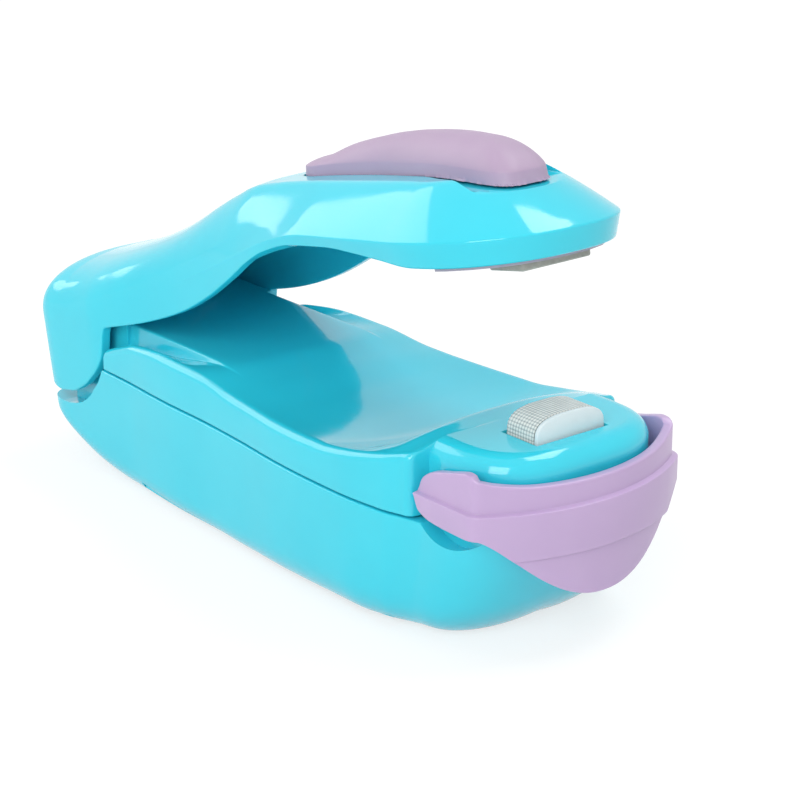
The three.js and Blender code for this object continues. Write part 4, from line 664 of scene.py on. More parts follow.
for x, y in size["screwSpots"]:
    for side in (1, -1):
        carve(lowerShell, rod("shank", size["screwHole"], -2, parting, (x, side * y, 0), "z"))
        carve(lowerShell, rod("head", *lowerCase["screwHead"], (x, side * y, 0), "z"))
finishPiece(lowerShell, "base", "shell_plastic", cyanPlastic, "lower_shell")
print("lower case:", len(lowerShell.data.vertices), "points")

deck = {
    "rear": -34.2, "shoulder": 34, "round": 36, "front": 47.6, "frontPower": 3,
    "railFillet": 1.2, "noseFillet": 2.6, "foot": 16.3, "footEdge": 0.3, "wall": 1.5,
    "step": 0.3, "stepEdge": 0.3, "dish": 2.4, "dishFade": (-13, -6), "postFront": -32.7,
    "slot": (37.5, 43.9, -5.75, 5.75, 15, 27), "pivotHole": 1.8, "pivotIn": 12.3, "boss": 2.4,
}
railAt = heightCurve([
    (-0.343, 0.1106), (-0.32, 0.1436), (-0.27, 0.1986), (-0.19, 0.2253), (-0.11, 0.2237),
    (-0.02, 0.1939), (0.09, 0.1829), (0.17, 0.1876), (0.23, 0.2143), (0.31, 0.2724), (0.34, 0.3007),
])
valleyAt = heightCurve([
    (-0.343, 0.2394), (-0.1, 0.2394), (-0.03, 0.2064), (0.05, 0.1609), (0.13, 0.146),
    (0.19, 0.148), (0.235, 0.173), (0.28, 0.28), (0.31, 0.3431), (0.48, 0.3431),
])
stepAt = heightCurve([(-0.343, 0.1011), (-0.32, 0.1184), (-0.2, 0.1797), (-0.1, 0.2269), (-0.06, 0.2221)])


# The deck's plan in two parts: the side with its rounded shoulder, and the narrower nose.
def deckOutline():
    r, end = deck["railFillet"], deck["shoulder"] - deck["railFillet"]
    x = np.linspace(deck["rear"], end, 700)
    side = evenly(np.stack([x, baseWidthAt(x)], 1), 120)
    a = np.linspace(0, np.pi / 2, 9)[1:]
    turn = [deck["shoulder"] - r * (1 - np.sin(a)), baseWidthAt(end) - r * (1 - np.cos(a))]
    c, s = quarter(deck["frontPower"])
    nose = np.stack([mix(deck["round"], deck["front"], s), size["noseHalf"] * c], 1)
    x = np.linspace(deck["shoulder"] + deck["step"], deck["round"], 5)[:-1]
    straight = np.stack([x, np.full(4, size["noseHalf"])], 1)
    return np.concatenate([side, np.stack(turn, 1)]), np.concatenate([straight, evenly(nose, 60)])


# Height of the deck: a dished valley whose sides rise to the rail by a power of the distance from
# the middle, and at the rear a flat table with a low step beside it.
def deckHeight(x, y, reach, fillet):
    rail = np.where(x > deck["shoulder"], size["noseTop"], railAt(x))
    flat = size["plateauHalf"]
    inner = np.maximum(reach - fillet, flat)
    valley = valleyAt(x)
    dished = valley + (rail - valley) * np.minimum(1, y / inner) ** deck["dish"]
    outside = y - flat - deck["step"]
    climb = np.clip(outside / np.maximum(inner - flat - deck["step"], 1e-6), 0, 1)
    stepped = np.where(outside < -1e-6, size["plateauTop"], mix(stepAt(x), rail, climb**2))
    return mix(stepped, dished, fade(x, *deck["dishFade"]))


# Sections of the deck: middle, table, step, rail, a quarter-round edge, side wall and foot.
def deckSections(edge, isNose, fillet):
    middle, dx, width, reach = fromSpine(edge, deck["rear"], deck["round"])

    def place(distance, z=None):
        px, py = middle + dx / reach * distance, width / reach * distance
        if z is None:
            z = size["noseTop"] if isNose else deckHeight(px, py, reach, fillet)
        return np.stack([px, -py, np.broadcast_to(z, px.shape)], 1)

    table = np.minimum(size["plateauHalf"], reach - fillet - deck["step"] * 2)
    rim = size["noseTop"] if isNose else railAt(edge[:, 0])
    corners = [place(table * share) for share in np.linspace(0, 1, 16)]
    beyond = np.linspace(0, 1, 12)
    corners += [place(mix(table + deck["step"], reach - fillet, share)) for share in beyond]
    for angle in np.linspace(0, np.pi / 2, 9)[1:]:
        dropped = rim - fillet * (1 - math.cos(angle))
        corners.append(place(reach - fillet * (1 - math.sin(angle)), dropped))
    corners += [place(reach, deck["foot"]), place(reach * 0, deck["foot"])]
    foot = len(corners) - 2
    radii = {15: deck["stepEdge"], 16: deck["stepEdge"] * 0.6, foot: deck["footEdge"]}
    return rounded(corners, radii, 5)


# The hollow under the deck: the same plan a wall in, with a low flat roof.
def deckHollow(sideEdge, noseEdge):
    edge = np.concatenate([sideEdge[2::6], noseEdge[::5], noseEdge[-1:]])
    x = edge[:, 0]
    middle, dx, width, reach = fromSpine(edge, deck["rear"] + 1, deck["round"])
    kept = (reach - deck["wall"]) / np.maximum(reach, 1e-9)
    px, py = middle + dx * kept, width * kept
    underNose = np.where(x > deck["shoulder"], size["noseTop"], railAt(x)) - 3.2
    underDish = np.minimum(railAt(x), np.where(x < -8, stepAt(x), valleyAt(x))) - 1.6
    low = np.where(x > deck["shoulder"] - 1.5, underNose, underDish)
    roof, foot = np.maximum(low, deck["foot"] + 0.35), deck["foot"] - 2.0
    column = lambda a, b, z: np.stack([a, b, np.broadcast_to(z, a.shape)], 1)
    top = [column(middle, py * 0, roof), column(px, -py, roof)]
    bottom = [column(px, -py, foot), column(middle, py * 0, foot)]
    return mirroredBody("hollow", np.stack(top + bottom, 1), flatEnd=True)


sideEdge, noseEdge = deckOutline()
sideHalf = deckSections(sideEdge, False, deck["railFillet"])
noseHalf = deckSections(noseEdge, True, deck["noseFillet"])
deckShell = mirroredBody("deckShell", np.concatenate([sideHalf, noseHalf]), flatEnd=True)
carve(deckShell, deckHollow(sideEdge, noseEdge))
radius, foot = size["postRadius"], deck["foot"]
tip = math.degrees(math.asin((size["plateauTop"] - hz) / radius))
post = [(deck["postFront"], foot), (deck["postFront"], size["plateauTop"])]
post += [*arc(hx, hz, radius, tip, 180), (hx - radius, foot)]
carve(deckShell, prism("posts", post, -size["postOuter"], size["postOuter"]), "UNION")
carve(deckShell, springRoom())
carve(deckShell, rod("pinHole", size["pinHole"], -19, 19, (hx, 0, hz), "y"))
carve(deckShell, block("slot", *deck["slot"]))
for side in (-1, 1):
    across = onSide(side, deck["pivotIn"], 19)
    carve(deckShell, rod("pivotHole", deck["pivotHole"], *across, size["pivot"], "y"))
    for x, y in size["screwSpots"]:
        spot = (x, side * y, 0)
        top = float(valleyAt(x)) - 0.8
        carve(deckShell, rod("boss", deck["boss"], 15, top, spot, "z"), "UNION")
        carve(deckShell, rod("shank", size["screwHole"], 13, 14.0, spot, "z"))
finishPiece(deckShell, "base", "shell_plastic", cyanPlastic, "deck_shell")
print("deck:", len(deckShell.data.vertices), "points")

armShape = {
    "rear": -52.3, "rearRound": -45, "rearPower": 5, "front": 48.7, "frontRound": 31, "frontPower": 2.3,
    "wall": 1.4, "headInset": 0.9, "flat": 8.2, "slopePower": 1.18, "domePower": 2.3,
    "creaseEdge": 0.22, "lowerEdge": 0.35, "skirtRear": -34.3,
    "boss": 2.75, "bossIn": 12.75, "bossOut": 14.6, "pinHalf": 14.48,
}
armWidthAt = widthCurve([
    (-0.499, 0.832), (-0.45, 0.832), (-0.38, 0.828), (-0.33, 0.8), (-0.28, 0.765), (-0.22, 0.735),
    (-0.16, 0.722), (-0.1, 0.728), (-0.03, 0.75), (0.05, 0.785), (0.13, 0.808), (0.22, 0.816),
    (0.31, 0.805), (0.487, 0.8),
])
creaseAt = heightCurve([
    (-0.499, 0.2143), (-0.42, 0.2143), (-0.3, 0.3007), (-0.16, 0.4029), (-0.03, 0.5286),
    (0.08, 0.626), (0.14, 0.6527), (0.22, 0.6449), (0.33, 0.6291), (0.487, 0.6197),
])
headBlendAt = easedCurve([(-0.499, 0), (-0.2, 0), (0.12, 1), (0.487, 1)], length)
skirtAt = heightCurve([
    (-0.34, 0.1609), (-0.28, 0.1813), (-0.231, 0.2056), (-0.165, 0.255), (-0.1, 0.3306),
    (-0.035, 0.4311), (0.015, 0.516), (0.06, 0.5726), (0.116, 0.604), (0.188, 0.5993),
    (0.237, 0.5773), (0.283, 0.549), (0.344, 0.516), (0.42, 0.5107), (0.487, 0.5107),
])
cheekAt = easedCurve([
    (-0.517, 15.84), (-0.514, 14.1), (-0.506, 12.6), (-0.49, 11.53), (-0.472, 11.09), (-0.446, 11.09),
    (-0.41, 12.1), (-0.391, 13.2), (-0.376, 14.2), (-0.361, 15.7), (-0.354, 16.9), (-0.3475, 19.3),
    (-0.343, 20.3),
], length)


# Height of the closed arm's top at a share of the way from its middle line to its crease: a
# superellipse at the rear, and in the head a flat seat that bends down in a power curve.
def armTop(x, middle, share, reach):
    crease = creaseAt(x)
    seat = np.clip(armShape["flat"] / np.maximum(reach, 1), 0, 0.8)
    fallen = np.maximum((share - seat) / (1 - seat), 0) ** armShape["slopePower"]
    slope = np.where(share < seat, 1, 1 - fallen)
    power = armShape["domePower"]
    dome = np.maximum(1 - share**power, 0) ** (1 / power)
    return crease + (ridgeAt(middle) - crease) * mix(dome, slope, headBlendAt(x))


# Sections of the arm: the top from the middle to the crease, the skirt down to its lower edge,
# and back along the inside a wall away.
def armSections(count):
    edge = planOutline(count, armShape, armWidthAt, 900)
    x = edge[:, 0]
    middle, dx, width, reach = fromSpine(edge, armShape["rearRound"], armShape["frontRound"])
    blend = headBlendAt(x)
    tuck = armShape["headInset"] * fade(x, 0, armShape["frontRound"])
    wall = armShape["wall"]

    def place(distance):
        return middle + dx / reach * distance, width / reach * distance

    def top(inset, drop, count, headEnd):
        wide = reach - inset
        points = []
        for t in np.linspace(0, 1, count):
            domed = math.sin(t * math.pi / 2) ** (2 / armShape["domePower"])
            share = np.ones(len(x)) if t == 1 else mix(domed, t * (1 - headEnd / wide), blend)
            px, py = place(wide * share)
            points.append(np.stack([px, -py, armTop(px, middle, share, reach) - drop], 1))
        return points

    def skirt(inset, drop, shares):
        wide = reach - inset
        cx, cy = place(wide)
        ex, ey = place(wide - tuck)
        high = armTop(cx, middle, np.ones(len(x)), reach) - drop
        lower = np.where(ex > armShape["skirtRear"], skirtAt(ex), cheekAt(ex))
        low = np.minimum(np.minimum(lower, creaseAt(x) - 0.3), high - 0.1)
        return [np.stack([mix(cx, ex, s), -mix(cy, ey, s), mix(high, low, s)], 1) for s in shares]

    outer = top(0, 0, 30, 0.8)
    crease = len(outer) - 1
    outer += skirt(0, 0, [0.25, 0.5, 0.75, 1])
    lower = len(outer) - 1
    inner = skirt(wall, wall, [1, 0.66, 0.33]) + top(wall, wall, 12, 0.6)[::-1]
    radii = {crease: armShape["creaseEdge"] * blend + 0.02}
    radii.update({lower: armShape["lowerEdge"], lower + 1: armShape["lowerEdge"] * 0.8})
    return rounded(outer + inner, radii, 6)


armShell = mirroredBody("armShell", armSections(330), atOpen)
for side in (-1, 1):
    across = onSide(side, armShape["bossIn"], armShape["bossOut"])
    carve(armShell, rod("boss", armShape["boss"], *across, (hx, 0, hz), "y", atOpen), "UNION")
pinHalf = armShape["pinHalf"]
carve(armShell, rod("pinHole", size["pinHole"], -pinHalf, pinHalf, (hx, 0, hz), "y", atOpen))
print("arm:", len(armShell.data.vertices), "points")

# The door's plate is cut out of the case's own form; two hooks at its rear lie on the case's floor.
batteryDoor = mirroredBody("batteryDoor", caseHalf(150, 0, 0, parting, lowerCase["rim"]))
rear, half = door["rear"], door["half"]
plate = block("plate", rear, door["front"], -half, half, door["low"], door["high"])
carve(batteryDoor, plate, "INTERSECT")
for side in (-1, 1):
    across, fore = onSide(side, door["hookIn"], door["hookOut"]), rear + door["neck"]
    neck = block("neck", rear, fore, *across, door["high"] - door["root"], door["hookTop"])
    carve(batteryDoor, neck, "UNION")
    tongue = block("tongue", rear - door["tongue"], fore, *across, door["tongueLow"], door["hookTop"])
    carve(batteryDoor, tongue, "UNION")
finishPiece(batteryDoor, "door", "shell_plastic", cyanPlastic, "battery_door")
print("door:", len(batteryDoor.data.vertices), "points")

thumb = {
    "rear": -0.15, "rearRound": 4.6, "rearPower": 2, "front": 41.5, "frontRound": 34.7, "frontPower": 3.55,
    "wall": 1.55, "rearWall": 1.2, "wallEnd": 14, "sink": 0.37, "frontSink": 0.6, "lift": 0.3,
    "margin": 0.3, "growth": 0.55, "growthFade": (26, 38), "bulge": 1.3, "fall": 0.8, "crownEnd": 0.975,
    "edge": 0.3, "seatEdge": 0.15, "flash": 0.16, "flashFade": (24, 33),
    "studs": (12.125, 28.68), "stud": 1.5, "studHole": 1.8, "studLong": 3.2,
}
thumbWidthAt = widthCurve([
    (0.04, 0.227), (0.1, 0.181), (0.16, 0.176), (0.22, 0.204), (0.28, 0.234), (0.33, 0.239), (0.37, 0.239),
])
domeAt = easedCurve([(4.6, 0.99), (9, 2.1), (14, 2.75), (19, 3.29), (24, 3.5), (29, 3.49), (34.7, 3.38)])


def seatAt(x):
    return ridgeAt(x) - mix(thumb["sink"], thumb["frontSink"], fade(x, *thumb["growthFade"]))


def thumbPlan(count):
    edge = planOutline(count, thumb, thumbWidthAt, 500, rearSteps=200)
    return edge, *fromSpine(edge, thumb["rearRound"], thumb["frontRound"])


# The sunk seat: the pad's outline grown towards the front, its floor following the arm's ridge.
def thumbSeat(count):
    edge, middle, dx, width, reach = thumbPlan(count)
    grown = 1 + thumb["margin"] / reach + thumb["growth"] * fade(edge[:, 0], *thumb["growthFade"])
    px, py = middle + dx * grown, width * grown
    corners = []
    for share in np.linspace(0, 1, 8):
        x = mix(middle, px, share)
        corners.append(np.stack([x, -py * share, seatAt(x)], 1))
    above = np.full(len(px), 47.0)
    corners += [np.stack([px, -py, above], 1), np.stack([middle, py * 0, above], 1)]
    return mirroredBody("seat", rounded(corners, {7: thumb["seatEdge"]}, 4), atOpen)


carve(armShell, thumbSeat(140))


# Half of the pad: a crown as high as the dome curve along the middle, which falls off by powers of
# the distance from there, then a short wall, and a flat foot whose edge is ragged with flash.
def thumbHalf(count):
    edge, middle, dx, y, reach = thumbPlan(count)

    def at(share, lift):
        x = middle + dx * share
        return np.stack([x, -y * share, lift(x)], 1)

    foot = lambda x: seatAt(x) + thumb["lift"]
    wallUp = (thumb["rear"], thumb["wallEnd"])
    rim = lambda x: foot(x) + mix(thumb["rearWall"], thumb["wall"], fade(x, *wallUp))
    corners = []
    for t in np.linspace(0, 1, 26):
        share = 1 - (1 - t) ** thumb["bulge"]
        crown = domeAt(middle) * (1 - share**2) ** thumb["fall"]
        corners.append(at(share * thumb["crownEnd"], lambda x: rim(x) + crown))
    corners.append(at(0.99, lambda x: mix(rim(x), foot(x), 0.55)))
    noise = np.random.default_rng(4).normal(size=(3, count))
    smooth = np.convolve(noise[1], np.ones(5) / 2.2, "same")
    ragged = np.clip(0.5 + 0.6 * noise[0] + 0.4 * smooth, 0, 1.6)
    ragged = ragged * fade(edge[:, 0], *thumb["flashFade"])
    ragged[-3:] = 0.4
    corners.append(at(1, lambda x: foot(x) + 0.25))
    corners.append(at(1 + thumb["flash"] * ragged / reach, lambda x: foot(x) + 0.02))
    corners += [at(1, foot), at(0, foot)]
    return rounded(corners, {25: thumb["edge"]}, 6)


thumbPad = mirroredBody("thumbPad", thumbHalf(300), atOpen)
for x in thumb["studs"]:
    top = float(ridgeAt(x))
    low, high = top - thumb["studLong"], top + 1.5
    stud = rod("stud", thumb["stud"], low, high, (x, 0, 0), "z", atOpen, 32)
    carve(thumbPad, stud, "UNION")
    carve(armShell, rod("studHole", thumb["studHole"], 30, 50, (x, 0, 0), "z", atOpen, 32))
finishPiece(armShell, "arm", "shell_plastic", cyanPlastic, "arm_shell")
finishPiece(thumbPad, "arm", "lilac_plastic", thumbPlastic, "thumb_pad", sharp=40)
print("thumb pad:", len(thumbPad.data.vertices), "points")

guard = {
    "front": 50.5, "half": 16.8, "sweep": 28.5, "fold": 2.3, "wall": 1.25, "rimInset": 0.75,
    "spoonInset": 0.4, "spoonHalf": 16.2, "tongue": 7.9, "bell": (2.2, 1.4), "lugRear": 34.5,
    "bandBottom": 13.9, "bandTop": 19.7, "lip": 0.16, "edge": 0.28,
    "bandEdges": (0.1, 0.14, 0.12, 0.08),
    "washer": 1.9, "stub": 1.5, "washerIn": 14.4, "stubIn": 12.6, "stubOut": 15.1,
}
guardTopAt = heightCurve([
    (0.345, 0.1326), (0.354, 0.205), (0.372, 0.245), (0.4, 0.272), (0.418, 0.29), (0.43, 0.2985),
    (0.452, 0.281), (0.467, 0.259), (0.49, 0.2375), (0.51, 0.2316),
])
guardBottomAt = heightCurve([
    (0.345, 0.1294), (0.355, 0.0603), (0.375, 0.0336), (0.4, 0.0257), (0.44, 0.0226), (0.51, 0.0226),
])


# Rings of the guard from one lug round the front to the other. The plan is a straight flank, a
# tight arc for the fold and a wide arc across the front. Up each ring come a spoon, whose lower
# edge is a bell curve across, a raised band, and a rim that is set in from it.
def guardRings():
    g = guard
    centre = g["front"] - g["sweep"]
    foldX = centre + math.sqrt((g["sweep"] - g["fold"]) ** 2 - (g["half"] - g["fold"]) ** 2)
    turn = math.atan2(g["half"] - g["fold"], foldX - centre)
    flankX = mix(g["lugRear"], foldX, np.linspace(0, 1, 50)[:-1] ** 1.3)
    bend = np.linspace(np.pi / 2, turn, 12)
    sweep = np.linspace(turn, 0, 44)[1:]

    def at(inset):
        tight, wide = g["fold"] - inset, g["sweep"] - inset
        x = np.concatenate([flankX, foldX + tight * np.cos(bend), centre + wide * np.cos(sweep)])
        flank = np.full(len(flankX), g["half"] - inset)
        y = np.concatenate([flank, g["half"] - g["fold"] + tight * np.sin(bend), wide * np.sin(sweep)])
        return x, -y

    px, py = at(0)
    across = np.minimum(1, -py / g["spoonHalf"])
    inner, outer = g["bell"]
    bottom = mix(guardBottomAt(px), g["tongue"], (1 - across**inner) ** outer)
    top = guardTopAt(px)
    bandTop = np.clip(g["bandTop"], bottom + 0.1, top - 0.1)
    bandBottom = np.minimum(np.maximum(g["bandBottom"], bottom + 0.05), bandTop - 0.05)
    lipTop = np.minimum(bandTop + g["lip"], top - 0.03)
    lipBottom = np.maximum(bandBottom - g["lip"], bottom + 0.03)
    spoon, rim, wall, edge = g["spoonInset"], g["rimInset"], g["wall"], g["edge"]
    rows = [(spoon, bottom), (spoon, lipBottom), (0, bandBottom), (0, bandTop)]
    rows += [(rim, lipTop), (rim, top), (rim + wall, top), (spoon + wall, bottom)]
    corners = [np.stack([*at(inset), z], 1) for inset, z in rows]
    radii = dict(enumerate((edge, *g["bandEdges"], edge, edge, edge)))
    return bothSides(rounded(corners, radii, 4, closed=True), flatEnd=True)


lockGuard = loft("lockGuard", guardRings())
for side in (-1, 1):
    washer = onSide(side, guard["washerIn"], guard["stubOut"])
    carve(lockGuard, rod("washer", guard["washer"], *washer, size["pivot"], "y"), "UNION")
    stub = onSide(side, guard["stubIn"], guard["stubOut"])
    carve(lockGuard, rod("stub", guard["stub"], *stub, size["pivot"], "y"), "UNION")
finishPiece(lockGuard, "guard", "lilac_plastic", lilacPlastic, "lock_guard", sharp=40)
print("guard:", len(lockGuard.data.vertices), "points")

heater = {
    "rear": 37.9, "front": 43.5, "half": 5.35, "base": 25.7, "arch": 2.8, "archPower": 3,
    "foot": 23.6, "sole": 19.4, "groove": 1.1, "grooveZ": 18.5,
    "blockInset": 0.9, "blockRear": 38.4, "blockFront": 43.2, "lip": 0.6,
    "clothEnd": 42.75, "skirt": 23.9, "fold": 0.45, "hang": 2.2, "clothThick": 0.28,
}


def archLine(inset, low, count):  # the heater's front view: feet, sides and a superellipse arch
    a = np.linspace(0, np.pi, 240)
    c, s = np.cos(a), np.sin(a)
    half, arch, power = heater["half"] - inset, heater["arch"] - inset, 2 / heater["archPower"]
    y = -half * np.sign(c) * np.abs(c) ** power
    z = heater["base"] + arch * np.abs(s) ** power
    line = np.concatenate([[(-half, low)], np.stack([y, z], 1), [(half, low)]])
    return evenly(line, count, 1.5)


def archBody(name, inset, x0, x1, edge):  # the arch carried from x0 to x1, its rims rounded
    part = edge * 0.3
    stations = [(x0, edge), (x0 + part, part), (x0 + edge, 0)]
    stations += [(x1 - edge, 0), (x1 - part, part), (x1, edge)]
    rings = []
    for x, more in stations:
        line = archLine(inset + more, heater["foot"] - 0.3, 90)
        rings.append(np.stack([np.full(len(line), x), line[:, 0], line[:, 1]], 1))
    return loft(name, rings)


h = heater
heaterBlock = archBody("heaterBlock", h["blockInset"], h["blockRear"], h["blockFront"], 0.05)
carve(heaterBlock, archBody("lip", 0, h["front"] - h["lip"], h["front"], 0.12), "UNION")
carve(heaterBlock, block("foot", *size["heaterPlan"], h["sole"], h["foot"]), "UNION")
carve(heaterBlock, rod("groove", h["groove"], 35, 46, (0, 0, h["grooveZ"]), "x", sides=32))
finishPiece(heaterBlock, "heater", "heater_body", whitePlastic, "heater_block", sharp=40)


# The cloth: a sheet over the arch and down its rear face. Its threads run along and across; each
# stands up as half a round wherever it passes over the other, as in a plain weave.
def clothPiece():
    pitch, edge = clothLook["thread"], h["fold"]
    line = archLine(0, h["skirt"], 420)
    along = np.concatenate([[0], np.cumsum(np.hypot(*np.diff(line, axis=0).T))])
    a = np.linspace(0, np.pi / 2, 9)
    back = np.stack([np.full(14, h["rear"]), np.linspace(h["hang"], edge, 15)[:-1]], 1)
    fold = np.stack([h["rear"] + edge * (1 - np.sin(a[::-1])), edge * (1 - np.cos(a[::-1]))], 1)
    fore = np.stack([np.linspace(h["rear"] + edge, h["clothEnd"], 84)[1:], np.zeros(83)], 1)
    path = np.concatenate([back, fold, fore])
    down = np.concatenate([[0], np.cumsum(np.hypot(*np.diff(path, axis=0).T))])
    inwards = np.array([0, h["base"] - 1.2]) - line
    sides = np.clip((h["base"] - line[:, 1]) / 1.2, 0, 1)[:, None]
    flat = np.stack([-np.sign(line[:, 0]), np.zeros(len(line))], 1)
    inwards = inwards / np.linalg.norm(inwards, axis=1)[:, None]
    inwards = inwards * (1 - sides) + flat * sides
    yz = line[None] + inwards[None] * path[:, 1][:, None, None]
    shape = yz.shape[:2]
    points = np.concatenate([np.broadcast_to(path[:, 0][:, None, None], shape + (1,)), yz], 2)
    u = np.broadcast_to(along[None] / pitch, shape)
    v = np.broadcast_to(down[:, None] / pitch, shape)
    swell = lambda t: np.sqrt(np.maximum(0, 1 - (2 * (t - np.floor(t)) - 1) ** 2))
    over = 0.5 + 0.5 * np.cos(np.pi * (v - 0.5 + np.floor(u)))
    under = 0.5 - 0.5 * np.cos(np.pi * (u - 0.5 + np.floor(v)))
    high = np.maximum(swell(u) * over, swell(v) * under)
    normal = np.cross(np.gradient(points, axis=1), np.gradient(points, axis=0))
    normal /= np.maximum(np.linalg.norm(normal, axis=2), 1e-9)[..., None]
    row, column = 60, 210  # a point on top of the arch, where outwards is up
    if normal[row, column, 2] < 0:
        normal = -normal
    points = points + normal * ((high - 0.6) * clothLook["swell"])[..., None]
    rows, columns = shape
    faces = gridFaces(rows, columns)
    mesh = bpy.data.meshes.new("glassCloth")
    mesh.from_pydata(atRest(points.reshape(-1, 3)).tolist(), [], faces.tolist())
    corners = faces.reshape(-1)
    threads = np.stack([u.reshape(-1)[corners], v.reshape(-1)[corners]], 1)
    layer = mesh.uv_layers.new(name="threads")
    layer.data.foreach_set("uv", threads.astype(np.float32).reshape(-1))
    crown = mesh.attributes.new("crown", "FLOAT", "POINT")
    crown.data.foreach_set("value", high.reshape(-1).astype(np.float32))
    mesh.update()
    if mesh.polygons[row * (columns - 1) + column].normal.z < 0:
        mesh.flip_normals()
    piece = bpy.data.objects.new("glassCloth", mesh)
    bpy.context.collection.objects.link(piece)
    thick = piece.modifiers.new("thickness", "SOLIDIFY")
    thick.thickness = h["clothThick"] * 0.001
    thick.offset = -1
    return piece


finishPiece(clothPiece(), "heater", "cloth", cloth, "glass_cloth", sharp=60)
print("heater made")


# A block with rounded edges: a small ball's surface pulled apart to the block's eight corners.
def softBlock(name, low, high, radius, place=atRest, sides=6):
    low, high = np.array(low, float), np.array(high, float)
    centre, half = (low + high) / 2, (high - low) / 2 - radius
    quarterTurn = np.linspace(0, np.pi / 2, sides)
    around = np.concatenate([quarterTurn + k * np.pi / 2 for k in range(4)])
    upward = np.concatenate([quarterTurn - np.pi / 2, quarterTurn])[:, None]
    shape = (len(upward), len(around))
    ball = [np.cos(upward) * np.cos(around), np.cos(upward) * np.sin(around), np.sin(upward)]
    signs = np.repeat([(1, 1), (-1, 1), (-1, -1), (1, -1)], sides, axis=0)
    corner = [signs[:, 0], signs[:, 1], np.repeat([-1, 1], sides)[:, None]]
    stacked = lambda parts: np.stack([np.broadcast_to(part, shape) for part in parts], -1)
    return loft(name, centre + stacked(ball) * radius + stacked(corner) * half, place)


pad = {
    "low": (38.3, -5.4, 28.8), "high": (44.3, 5.4, 32.8), "edge": 0.3,
    "flangeLow": (37.7, -6, 32.3), "flangeHigh": (44.9, 6, 32.8), "flangeEdge": 0.12,
}
pressurePad = softBlock("pressurePad", pad["low"], pad["high"], pad["edge"], atOpen)
flange = softBlock("flange", pad["flangeLow"], pad["flangeHigh"], pad["flangeEdge"], atOpen)
carve(pressurePad, flange, "UNION")
finishPiece(pressurePad, "arm", "silicone", silicone, "pressure_pad", sharp=50)

screw = {
    "shank": 1.1, "rootShare": 0.82, "head": 1.9, "tip": 0.3, "pitch": 0.5, "crown": 0.45,
    "cross": 0.42, "crossReach": 1.15, "crossDepth": 0.6, "crossTaper": 0.55,
    "caseLow": 1.4, "caseLong": 10, "caseHead": 1.5,
    "padX": 33.3, "padY": 6.5, "padLow": 29.6, "padLong": 5, "padHead": 0.9,
}


# A self-tapping screw, head down: a domed head, thread crests up the shank and a blunt tip, with
# a cross recess that narrows as it deepens.
def makeScrew(name, x, y, z, long, head, place=atRest):
    s = screw
    angles = np.linspace(0.05, math.pi / 2, 8)
    profile = [(s["head"] * math.sin(a), z + head * s["crown"] * (1 - math.cos(a))) for a in angles]
    profile += [(s["head"], z + head), (s["shank"], z + head)]
    root = s["shank"] * s["rootShare"]
    for k in range(int((long - head - 2) / s["pitch"])):
        base = z + head + 0.6 + k * s["pitch"]
        profile += [(root, base), (s["shank"], base + 0.18), (root, base + 0.36)]
    profile += [(s["tip"], z + long)]
    piece = turned(name, profile, (x, y, 0), "z", place, 32)
    for a, b in ((s["crossReach"], s["cross"] / 2), (s["cross"] / 2, s["crossReach"])):
        low = [(x - a, y - b), (x + a, y - b), (x + a, y + b), (x - a, y + b)]
        small = [(mix(px, x, s["crossTaper"]), mix(py, y, s["crossTaper"])) for px, py in low]
        levels = ((low, z - 0.5), (low, z), (small, z + s["crossDepth"]))
        carve(piece, loft("cross", [[(*p, height) for p in ring] for ring, height in levels], place))
    return piece


number = 0
for x, y in size["screwSpots"]:
    for side in (-1, 1):
        number += 1
        sizes = screw["caseLow"], screw["caseLong"], screw["caseHead"]
        piece = makeScrew(f"caseScrew{number}", x, side * y, *sizes)
        finishPiece(piece, "base", "steel", steel, f"case_screw_{number}", sharp=45)
for number, side in ((1, -1), (2, 1)):
    sizes = screw["padLow"], screw["padLong"], screw["padHead"]
    piece = makeScrew(f"padScrew{number}", screw["padX"], side * screw["padY"], *sizes, atOpen)
    finishPiece(piece, "arm", "steel", steel, f"pad_screw_{number}", sharp=45)


# A wire along a path: circles square to the path, each turned as little as possible from the last.
def wire(name, path, radius, place=atRest, sides=12):
    path = np.asarray(path, float)
    along = np.gradient(path, axis=0)
    along /= np.linalg.norm(along, axis=1)[:, None]
    axis = np.array([0, 1, 0]) if abs(along[0, 1]) < 0.7 else np.array([1, 0, 0])
    side = np.cross(along, axis)
    side /= np.linalg.norm(side, axis=1)[:, None]
    other = np.cross(along, side)
    angle = (np.arange(sides) / sides * 2 * np.pi)[None, :, None]
    circles = side[:, None] * np.cos(angle) + other[:, None] * np.sin(angle)
    return loft(name, path[:, None] + radius * circles, place)


def helix(radius, turns, long, perTurn=36):  # a coil along z from the origin
    t = np.linspace(0, 1, int(turns * perTurn) + 1)
    angle = t * turns * 2 * np.pi
    return np.stack([radius * np.cos(angle), radius * np.sin(angle), t * long], 1)


# wire is the radius of the wire, coil that of the coil to the wire's middle
contactSpring = {"wire": 0.3, "coil": 3, "turns": 4, "long": 3.2, "plate": 0.6}
heaterSpring = {"wire": 0.25, "coil": 1.4, "turns": 4, "long": 4.5, "x": 39.8, "y": 3.6, "z": 11.15}
armSpring = {"wire": 0.4, "coil": 2.7, "turns": 6 + 1 / 3, "half": 3.9, "lowLeg": 3.5, "highLeg": 7.02}

